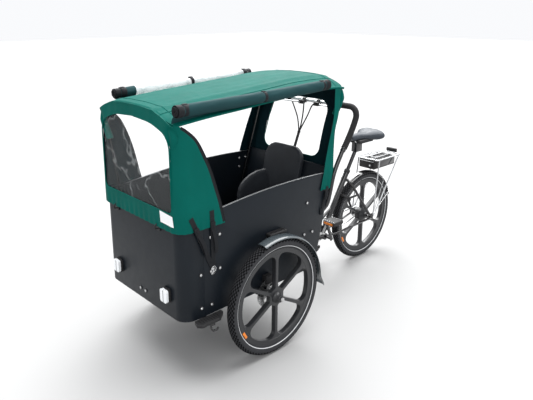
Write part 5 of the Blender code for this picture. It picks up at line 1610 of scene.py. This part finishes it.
        def spot(u: float, v: float) -> Vector:
            """Return the roll's surface, with the spiral's lip and soft dents."""
            turn = 2 * pi * u
            centre = self.roll_centre(side, v)
            pinch = 0.0045 * sum(swell(v - at, 0.012) for at in (0.045, 0.52, 0.955))
            wave = ripple(Vector((cos(turn), v * 9, sin(turn))), 0.55, 0.0014, 4.0 + side)
            radius = 0.0235 + 0.0028 * u - pinch + wave
            return centre + Vector((side * radius * cos(turn + 0.9), 0, radius * sin(turn + 0.9)))

        body = shop.grid(44, 96, spot)
        ends = []
        for v, way in ((0.0, -1), (1.0, 1)):
            centre = self.roll_centre(side, v)
            coil = []
            for step in range(71):
                r, t = 0.004 + 0.0165 * step / 70, 6 * pi * step / 70 + 0.9
                coil.append(centre + Vector((side * r * cos(t), way * (0.001 + 0.0012 * (step % 3)),
                                             r * sin(t))))
            ends.append(shop.tube(coil, 0.0027))
            inner = centre + Vector((0, -way * 0.004, 0))
            ends.append(shop.drum(inner, centre, 0.0212, 0.001, 32))
        shop.weld(shop.wall(body, 0.002))
        shop.paint(body, CANOPY_DARK)
        if film:
            start, stop = self.roll_centre(side, 0.13).y, self.roll_centre(side, 0.97).y
            shop.paint(body, ROLLED_FILM, lambda f: start < f.center.y < stop)
        tie, end = self.roll_centre(side, 0.035).y, self.roll_centre(side, 0.965).y
        shop.paint(body, BINDING, lambda f: not tie < f.center.y < end)
        tips = [shop.paint(end, BINDING) for end in ends]
        for v, width in ((0.050, 0.030), (0.52, 0.020), (0.950, 0.030)):
            centre = self.roll_centre(side, v)
            loop = [centre + Vector((side * 0.0246 * cos(t), 0, 0.0246 * sin(t)))
                    for t in (2 * pi * step / 36 for step in range(37))]
            strap = shop.band(loop, lambda i: Vector((side * cos(2 * pi * i / 36), 0,
                                                      sin(2 * pi * i / 36))), width, 0.0022)
            tips.append(shop.paint(strap, BINDING))
            tab = shop.block(centre + Vector((-0.007, -0.010, 0.0220)),
                             centre + Vector((0.007, 0.010, 0.0275)), 0.002)
            tips.append(shop.paint(tab, BINDING))
        node = word + "_side_roll"
        shop.place(shop.join([body, *tips]), word + "_rolled_side", node, None, True, 50)

    def buckle(self, place: Vector, side: int, lean: float) -> Piece:
        """Build a side-release buckle lying on the box side.

        Args:
            place: its middle.
            side: 1 on the left, -1 on the right.
            lean: its turn about X in radians.

        Returns:
            The buckle.
        """
        shop = self.shop
        parts = [shop.plate([rounded_rectangle((-0.0125, -0.010), (0.0125, 0.020), 0.004)], 0.007,
                            (0.0045, 0, 0), Plane.YZ, 0.0018),
                 shop.plate([rounded_rectangle((-0.011, -0.024), (0.011, -0.011), 0.003)], 0.006,
                            (0.0045, 0, 0), Plane.YZ, 0.0015),
                 shop.block((0.0075, -0.004, -0.006), (0.0090, 0.004, 0.014), 0.0006)]
        parts += [shop.block((0.003, y - 0.002, -0.014), (0.0075, y + 0.002, -0.006), 0.001)
                  for y in (-0.010, 0.010)]
        piece = shop.join(parts)
        turn = Matrix.Rotation(lean, 4, "X")
        if side < 0:
            turn = Matrix.Rotation(pi, 4, "Z") @ turn
        piece.data.transform(Matrix.Translation(place) @ turn)
        return piece

    def straps(self, side: int, word: str) -> None:
        """Build the buckled webbing at one side's front and rear."""
        shop, x = self.shop, side * 0.3375
        parts = []
        runs = (((-0.455, 0.812), (-0.337, 0.545)), ((-0.340, 0.822), (-0.331, 0.545)))
        outward = Vector((side, 0, 0))
        for (y0, z0), (y1, z1) in runs:
            knots = [(side * 0.3395, y0, z0),
                     (side * 0.3405, y0 + 0.25 * (y1 - y0), z0 + 0.25 * (z1 - z0)),
                     (x, y0 + 0.55 * (y1 - y0), z0 + 0.55 * (z1 - z0)), (side * 0.3350, y1, z1)]
            parts.append(shop.band(smooth_line(knots, 8), lambda i: outward, 0.024, 0.0018))
            lean = math.atan2(y0 - y1, z0 - z1)
            place = Vector((side * 0.3385, y0 + 0.26 * (y1 - y0), z0 + 0.26 * (z1 - z0)))
            parts.append(self.buckle(place, side, -lean))
            tail = [(side * 0.3445, y0 + 0.30 * (y1 - y0), z0 + 0.30 * (z1 - z0)),
                    (side * 0.3480, y0 + 0.45 * (y1 - y0) + 0.010, z0 + 0.52 * (z1 - z0)),
                    (side * 0.3440, y0 + 0.56 * (y1 - y0) + 0.016, z0 + 0.74 * (z1 - z0))]
            parts.append(shop.band(smooth_line(tail, 6), lambda i: outward, 0.018, 0.0016))
        knots = [(side * 0.3395, 0.452, 0.760), (side * 0.3405, 0.448, 0.735),
                 (side * 0.338, 0.436, 0.690), (side * 0.336, 0.420, 0.640)]
        parts.append(shop.band(smooth_line(knots, 8), lambda i: outward, 0.018, 0.0018))
        parts.append(self.buckle(Vector((side * 0.3345, 0.444, 0.712)), side, -0.16))
        anchor = shop.plate([rounded_rectangle((0.404, 0.606), (0.428, 0.646), 0.005)], 0.003,
                            (side * 0.3334, 0, 0), Plane.YZ, 0.0008)
        parts.append(anchor)
        shop.place(shop.join(parts), word + "_straps", f"box_{word}_panel", BINDING, smooth=40)

    def build(self) -> None:
        """Build the whole canopy."""
        self.front_end()
        self.rear_end()
        self.roof()
        for side, word in SIDES:
            self.straps(side, word)
        self.shop.refine("canopy_poles", BLACK_PAINT, 0.0)


# Handlebar


@dataclass
class Handlebar:
    """The hoop handlebar with foam grips, brake levers, shifter and cables."""

    shop: Shop
    half: float = 0.330
    bar_y: float = 0.700
    height: float = 1.155
    bend: float = 0.055

    def rise(self, side: int) -> list[Vector]:
        """Return the hoop's middle line from the stem round to the crossbar."""
        drop = self.height - self.bend
        knots = [(self.half, 0.588, 0.9388), (self.half, 0.606, 0.961), (self.half, 0.640, 1.012),
                 (self.half, 0.666, 1.056), (self.half, self.bar_y - 0.014, drop)]
        lean = (-0.008, -0.004, -0.002, 0.0, 0.0)
        turn = arc((self.half - self.bend, drop), self.bend, 0.25 * pi / 2, pi / 2, 5)
        knots += [(x, self.bar_y + move, z) for (x, z), move in zip(turn, lean)]
        return [Vector((side * p.x, p.y, p.z)) for p in smooth_line(knots, 6)]

    def build(self) -> None:
        """Build the bars and everything on them."""
        shop = self.shop
        left, right = self.rise(1), self.rise(-1)
        hoop = shop.tube(left + list(reversed(right)), 0.0111)
        shop.place(hoop, "hoop", "handlebar", ALUMINIUM, True, 60)
        foot = rear_wall_y(0.620) + 0.0145
        knots = [(self.half - 0.02, foot, 0.620), (self.half, foot + 0.010, 0.660),
                 (self.half, 0.4865, 0.715), (self.half, 0.516, 0.82), (self.half, 0.571, 0.917),
                 (self.half, 0.588, 0.9385)]
        arm = smooth_line(knots, 6)
        stems = arm[::-1] + [Vector((-p.x, p.y, p.z)) for p in arm]
        collars = [shop.drum((side * self.half, 0.5795, 0.9285), (side * self.half, 0.592, 0.944),
                             0.0150, 0.002) for side, _ in SIDES]
        shop.place(shop.join([shop.tube(stems, 0.0125), *collars]), "stems", "handlebar_stems",
                   BLACK_PAINT, True, 60)
        for side, word in SIDES:
            line = [p for p in self.rise(side) if p.z > 0.9440]
            line.append(Vector((side * 0.200, self.bar_y, self.height)))
            foam = shop.tube(line, 0.0168, level=6)
            rings = [shop.tube([line[i], line[i] + (line[j] - line[i]).normalized() * 0.006],
                               0.0174) for i, j in ((0, 1), (-1, -2))]
            shop.place(shop.join([foam, *rings]), word + "_foam", word + "_grip", FOAM_BLACK,
                       True, 60)
            shop.refine(word + "_brake_perch", MATTE_BLACK, 0.0015)
            shop.refine(word + "_brake_lever", ALUMINIUM, 0.0)
        self.shifter()
        self.cables()

    def shifter(self) -> None:
        """Build the twist shifter with its ribbed sleeve."""
        shop, x = self.shop, -0.180
        profile = [(0.0116, -0.017), (0.0160, -0.017)]
        for step in range(9):
            at = -0.014 + 0.0034 * step
            profile += [(0.0168, at), (0.0158, at + 0.0017)]
        profile += [(0.0170, 0.0165), (0.0116, 0.017)]
        sleeve = shop.lathe(profile, (x, self.bar_y, self.height), 36)
        mark = shop.block((x + 0.002, self.bar_y - 0.003, self.height + 0.015),
                          (x + 0.014, self.bar_y + 0.003, self.height + 0.0185), 0.001)
        shop.place(shop.join([shop.paint(sleeve, MATTE_BLACK), shop.paint(mark, LABEL)]),
                   "twist_sleeve", "gear_shifter", None, True)

    def cables(self) -> None:
        """Build the control cables, bound into one sleeve down the back of the box."""
        shop, wall = self.shop, rear_wall_y
        trunk = [(0, 0.592, 0.988), (0, 0.568, 0.930), (0, 0.540, 0.860), (0, 0.510, 0.760),
                 (0, wall(0.62) + 0.0355, 0.620), (0, wall(0.55) + 0.016, 0.55),
                 (0, wall(0.40) + 0.010, 0.40), (0, wall(0.345) + 0.011, 0.345),
                 (0, 0.380, 0.3085), (0, 0.362, 0.3025), (0, 0.312, 0.3015), (0, 0.205, 0.3005)]
        sleeve = shop.tube(smooth_line(trunk, 6), 0.0082)
        rings = [shop.tube([trunk[i], Vector(trunk[i]).lerp(Vector(trunk[i + 1]), 0.12)], 0.0096)
                 for i in (0, 2, 4)]
        parts = [sleeve, *rings]
        y, z = self.bar_y, self.height
        for side in (1, -1):
            runs = [(side * 0.041, y - 0.030, z - 0.010), (side * 0.030, y - 0.040, 1.128),
                    (side * 0.018, 0.640, 1.075), (side * 0.006, 0.612, 1.020),
                    (side * 0.001, 0.591, 0.984)]
            parts.append(shop.tube(smooth_line(runs, 7), 0.0040))
        runs = [(-0.159, y - 0.004, z - 0.0165), (-0.120, y - 0.030, 1.118),
                (-0.060, 0.640, 1.058), (-0.018, 0.606, 1.005), (-0.002, 0.588, 0.978)]
        parts.append(shop.tube(smooth_line(runs, 7), 0.0040))
        shop.place(shop.join(parts), "control_cables", "cable_bundle", MATTE_BLACK, True, 60)


# Rear module


@dataclass
class RearModule:
    """Frame, saddle, drive, mudguard, rack, battery and lock."""

    shop: Shop
    saddle_front: float = 1.0905
    saddle_back: float = 1.3470

    def saddle(self) -> None:
        """Build the saddle: a crowned padded top, stitched seam and dark base."""
        shop = self.shop
        widths = ((0.0, 0.018), (0.06, 0.026), (0.25, 0.031), (0.45, 0.041), (0.62, 0.066),
                  (0.78, 0.096), (0.90, 0.102), (0.97, 0.088), (1.0, 0.064))
        tops = ((0.0, 0.880), (0.08, 0.889), (0.30, 0.889), (0.55, 0.888), (0.80, 0.898),
                (0.93, 0.899), (1.0, 0.889))
        lows = ((0.0, 0.858), (0.10, 0.846), (0.45, 0.842), (0.70, 0.833), (0.90, 0.831),
                (1.0, 0.842))
        depth = self.saddle_back - self.saddle_front

        def spot(u: float, v: float) -> Vector:
            """Return the cover at u round the section and v from nose to tail."""
            half = read_line(widths, v)
            top, low = read_line(tops, v), read_line(lows, v)
            turn = 2 * pi * u
            across, up = cos(turn), sin(turn)
            square = (abs(across) ** 2.6 + abs(up) ** 2.6) ** (-1 / 2.6)
            x, rise = half * across * square, up * square
            height = (top + low) / 2 + (top - low) / 2 * rise
            if up > 0:
                height -= 0.004 * swell(x, 0.012) * blend_edge(v, 0.35, 0.6)
                height -= 0.006 * (abs(x) / max(half, 0.01)) ** 2
            return Vector((x, self.saddle_front + depth * v, height))

        cover = shop.grid(48, 40, spot)
        shop.weld(cover)
        with shop.editing(cover, "EDGE"):
            bpy.ops.mesh.select_all(action="DESELECT")
            bpy.ops.mesh.select_non_manifold()
            bpy.ops.mesh.edge_face_add()
            bpy.ops.mesh.select_all(action="SELECT")
            bpy.ops.mesh.normals_make_consistent(inside=False)
        shop.paint(cover, SADDLE)
        seam = []
        for side in (1, -1):
            line = [spot(0.25 - side * 0.165, 0.10 + 0.84 * step / 40) + Vector((0, 0, 0.0004))
                    for step in range(41)]
            seam.append(shop.paint(shop.tube(line, 0.0010), SADDLE))
        base = shop.block((-0.048, 1.130, 0.826), (0.048, 1.280, 0.850), 0.008)
        rails = []
        for side in (1, -1):
            wire = [(side * x, y, z) for x, y, z in ((0.022, 1.110, 0.850), (0.022, 1.130, 0.836),
                                                     (0.022, 1.250, 0.835), (0.030, 1.310, 0.846))]
            rails.append(shop.paint(shop.tube(smooth_line(wire, 6), 0.0034), STEEL))
        piece = shop.join([cover, *seam, shop.paint(base, MATTE_BLACK), *rails])
        shop.place(piece, "saddle_cover", "saddle", None, True, 50)

    def links(self) -> None:
        """Build the chain link by link round the chainring and the sprocket."""
        shop = self.shop
        front, rear = Vector(CHAINRING), Vector((WHEELBASE, WHEEL_RADIUS))
        big, small = 0.0768, 0.0364
        line = rear - front
        lean = math.atan2(line.y, line.x)
        tilt = math.acos((big - small) / line.length)
        path = arc(tuple(front), big, lean + tilt, lean + 2 * pi - tilt, 60)
        path += arc(tuple(rear), small, lean - tilt, lean + tilt, 24)
        loop = [Vector(point) for point in path] + [Vector(path[0])]
        lengths = [(b - a).length for a, b in zip(loop, loop[1:])]
        count = round(sum(lengths) / CHAIN_PITCH / 2) * 2
        places, pitch = [], sum(lengths) / count
        for index in range(count):
            want, spot = pitch * (index + 0.5), 0
            while want > lengths[spot]:
                want -= lengths[spot]
                spot += 1
            here = loop[spot].lerp(loop[spot + 1], want / lengths[spot])
            way = loop[spot + 1] - loop[spot]
            gap = 0.0 if index % 2 else 0.0012
            places.append((Vector((CHAIN_X, here.x, here.y)), math.atan2(way.y, way.x), gap))
        plate = shop.plate([round_corners([(-0.0082, -0.0040, 0.0036), (0.0, -0.0028, 0.0),
                                           (0.0082, -0.0040, 0.0036), (0.0082, 0.0040, 0.0036),
                                           (0.0, 0.0028, 0.0), (-0.0082, 0.0040, 0.0036)], 3)],
                           0.0011, ORIGIN, Plane.YZ)
        spots = [Matrix.Translation(place + Vector((way * (0.0022 + gap), 0, 0)))
                 @ Matrix.Rotation(turn, 4, "X") for place, turn, gap in places for way in (1, -1)]
        chain = shop.copies(plate, spots)
        roller = shop.drum((-0.0030, 0, 0), (0.0030, 0, 0), 0.0033, 0, 8)
        rollers = shop.copies(roller, [Matrix.Translation(place) @ Matrix.Rotation(turn, 4, "X")
                                       @ Matrix.Translation((0, 0.0063, 0))
                                       for place, turn, _ in places])
        shop.place(shop.join([chain, rollers]), "chain_links", "chain", STEEL, True, 30)

    def pedals(self) -> None:
        """Add grip studs and amber reflectors to both pedals."""
        shop = self.shop
        for _, word in SIDES:
            node = word + "_pedal"
            shop.refine(node, MATTE_BLACK, 0.003)
            low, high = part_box(node)
            parts = []
            for y, way in ((low.y, -1), (high.y, 1)):
                face = shop.block((low.x + 0.012, y - 0.001 * way, low.z + 0.006),
                                  (high.x - 0.012, y + 0.002 * way, high.z - 0.006), 0.0015)
                parts.append(shop.paint(face, AMBER))
            stud = shop.drum(ORIGIN, (0, 0, 0.0022), 0.0022, 0.0005, 10)
            spots = [Matrix.Translation((low.x + 0.012 + 0.0165 * i, y, high.z - 0.0004))
                     for i in range(5) for y in (low.y + 0.012, high.y - 0.012)]
            parts.append(shop.paint(shop.copies(stud, spots), STEEL))
            shop.place(shop.join(parts), word + "_pedal_trim", node, None, False, 40, False)

    def battery(self) -> None:
        """Build the battery case with its side rails, seam and lock."""
        shop = self.shop
        shop.refine("battery", MATTE_BLACK, 0.006)
        low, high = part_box("battery")
        parts = []
        for side in (1, -1):
            x = high.x if side > 0 else low.x
            rail = shop.block((x - side * 0.001, low.y + 0.030, low.z + 0.012),
                              (x + side * 0.0016, high.y - 0.012, high.z - 0.012), 0.0012)
            parts.append(shop.paint(rail, GLOSS_BLACK))
        trim = shop.block((low.x + 0.010, low.y - 0.0012, high.z - 0.012),
                          (high.x - 0.010, low.y + 0.002, high.z - 0.007), 0.0008)
        parts.append(shop.paint(trim, ALUMINIUM))
        lock = shop.drum((0.030, low.y + 0.001, low.z + 0.024),
                         (0.030, low.y - 0.003, low.z + 0.024), 0.0085, 0.001)
        parts.append(shop.paint(lock, STEEL))
        shop.place(shop.join(parts), "battery_trim", "battery", None, False, 40, False)

    def mudguard(self) -> None:
        """Build the rear mudguard with its rolled edges and wire stays."""
        shop = self.shop
        start, end = radians(15), radians(121)

        def spot(u: float, v: float) -> Vector:
            """Return the shell's outer face at u along the arc and v across."""
            turn, share = start + (end - start) * u, 2 * v - 1
            radius = 0.3125 - 0.0110 * abs(share) ** 3
            return Vector((share * 0.029, WHEELBASE + radius * cos(turn),
                           WHEEL_RADIUS + radius * sin(turn)))

        shell = shop.grid(60, 14, spot)
        shop.bevel(shop.weld(shop.wall(shell, 0.0022)), 0.0007, 2, 50)
        shop.paint(shell, GLOSS_BLACK)
        stays = []
        for side in (1, -1):
            for turn in (radians(27), radians(52)):
                wire = [(side * x, WHEELBASE + reach * cos(turn), WHEEL_RADIUS + reach * sin(turn))
                        for x, reach in ((0.0285, 0.304), (0.052, 0.270))]
                stays.append(shop.tube(wire + [(side * 0.087, 1.262, 0.318)], 0.0023))
        wires = shop.paint(shop.join(stays), STEEL)
        shop.place(shop.join([shell, wires]), "rear_mudguard_shell", "rear_mudguard", None,
                   True, 45)

    def build(self) -> None:
        """Build the rear module."""
        shop = self.shop
        self.saddle()
        self.links()
        self.pedals()
        self.battery()
        self.mudguard()
        for node, finish, bevel in (
                ("rear_frame", BLACK_PAINT, 0.0), ("seatpost", BLACK_PAINT, 0.0008),
                ("seat_collar", MATTE_BLACK, 0.0015), ("crankset", BLACK_PAINT, 0.001),
                ("rear_sprocket", STEEL, 0.0), ("rack", ALUMINIUM, 0.0),
                ("rack_clamp", STEEL, 0.0), ("rear_light", MATTE_BLACK, 0.002),
                ("ring_lock", MATTE_BLACK, 0.003)):
            shop.refine(node, finish, bevel)
        low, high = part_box("rear_light")
        lens = shop.block((low.x + 0.003, high.y - 0.003, low.z + 0.003),
                          (high.x - 0.003, high.y + 0.0025, high.z - 0.003), 0.0025, 3)
        shop.place(lens, "rear_light_lens", "rear_light", LAMP_RED, False, 50, False)


# Studio


@dataclass
class Studio:
    """The pale floor, soft lights and camera."""

    datum: float
    eye: Triple = (2.1272, -1.7594, 1.6709)
    yaw: float = 47.711
    pitch: float = -15.218
    roll: float = 0.114
    lens: float = 37.241
    shift: Flat = (0.0375, -0.0750)

    def camera(self) -> None:
        """Set the camera at the front left, a little above."""
        data = bpy.data.cameras.new("camera")
        data.lens = self.lens
        data.sensor_width = 36.0
        data.shift_x, data.shift_y = self.shift
        made = bpy.data.objects.new("camera", data)
        show(made)
        yaw, pitch = radians(self.yaw), radians(self.pitch)
        ahead = Vector((-sin(yaw) * cos(pitch), cos(yaw) * cos(pitch), sin(pitch)))
        turn = ahead.to_track_quat("-Z", "Y").to_matrix().to_4x4()
        spin = Matrix.Rotation(-radians(self.roll), 4, "Z")
        place = Vector(self.eye) + Vector((0.0, self.datum, 0.0))
        made.matrix_world = Matrix.Translation(place) @ turn @ spin
        bpy.context.scene.camera = made

    def light(self, name: str, place: Point, size: float, power: float) -> None:
        """Hang one soft square light that faces the object.

        Args:
            name: its name.
            place: where it hangs.
            size: length of its sides.
            power: in watts.
        """
        data = bpy.data.lights.new(name, "AREA")
        data.shape = "SQUARE"
        data.size = size
        data.energy = power
        made = bpy.data.objects.new(name, data)
        show(made)
        made.location = place
        aim = Vector((0.0, 0.0, 0.6)) - Vector(place)
        made.rotation_euler = aim.to_track_quat("-Z", "Y").to_euler()

    def build(self) -> None:
        """Lay the floor, hang the lights and set the world's glow."""
        bpy.ops.mesh.primitive_plane_add(size=60.0, location=(0.0, 0.0, -0.0006))
        floor = bpy.context.object
        floor.name = "studio_floor"
        graph = Graph("floor_paper")
        graph.feed("Base Color", (0.33, 0.33, 0.33, 1.0))
        graph.feed("Specular IOR Level", 0.1)
        graph.feed("Roughness", graph.span(graph.noise(0.8), 0.80, 0.92))
        floor.data.materials.append(graph.material)
        self.light("back", (-3.4, 3.4, 4.6), 3.0, 160.0)
        self.light("fill", (3.8, -2.6, 3.0), 2.4, 60.0)
        sky = bpy.data.lights.new("overhead", "SUN")
        sky.energy, sky.angle = 7.4, radians(80)
        lamp = bpy.data.objects.new("overhead", sky)
        show(lamp)
        lamp.rotation_euler = (radians(-18), radians(-14), 0.0)
        world = bpy.data.worlds.new("studio")
        world.use_nodes = True
        glow = world.node_tree.nodes["Background"]
        glow.inputs["Color"].default_value = (0.97, 0.98, 1.0, 1.0)
        glow.inputs["Strength"].default_value = 0.98
        bpy.context.scene.view_settings.view_transform = "Standard"
        bpy.context.scene.world = world


def main() -> None:
    """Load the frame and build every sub-assembly."""
    logging.basicConfig(level=logging.INFO, format="%(name)s: %(message)s")
    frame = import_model()
    low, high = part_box("front_left_tyre")
    datum = (low.y + high.y) / 2
    shop = Shop(frame, datum)
    for body, nodes in frame["record"]["behaviour"]["bodies"].items():
        shop.bodies.update({node: body for node in nodes})
    studio = Studio(datum)
    studio.camera()
    for assembly in (Wheel(shop), CargoBox(shop), Seats(shop), Fittings(shop), Canopy(shop),
                     Handlebar(shop), RearModule(shop)):
        assembly.build()
        LOG.info("%s: %d pieces so far", type(assembly).__name__, shop.count)
    studio.build()


if __name__ == "__main__":
    main()
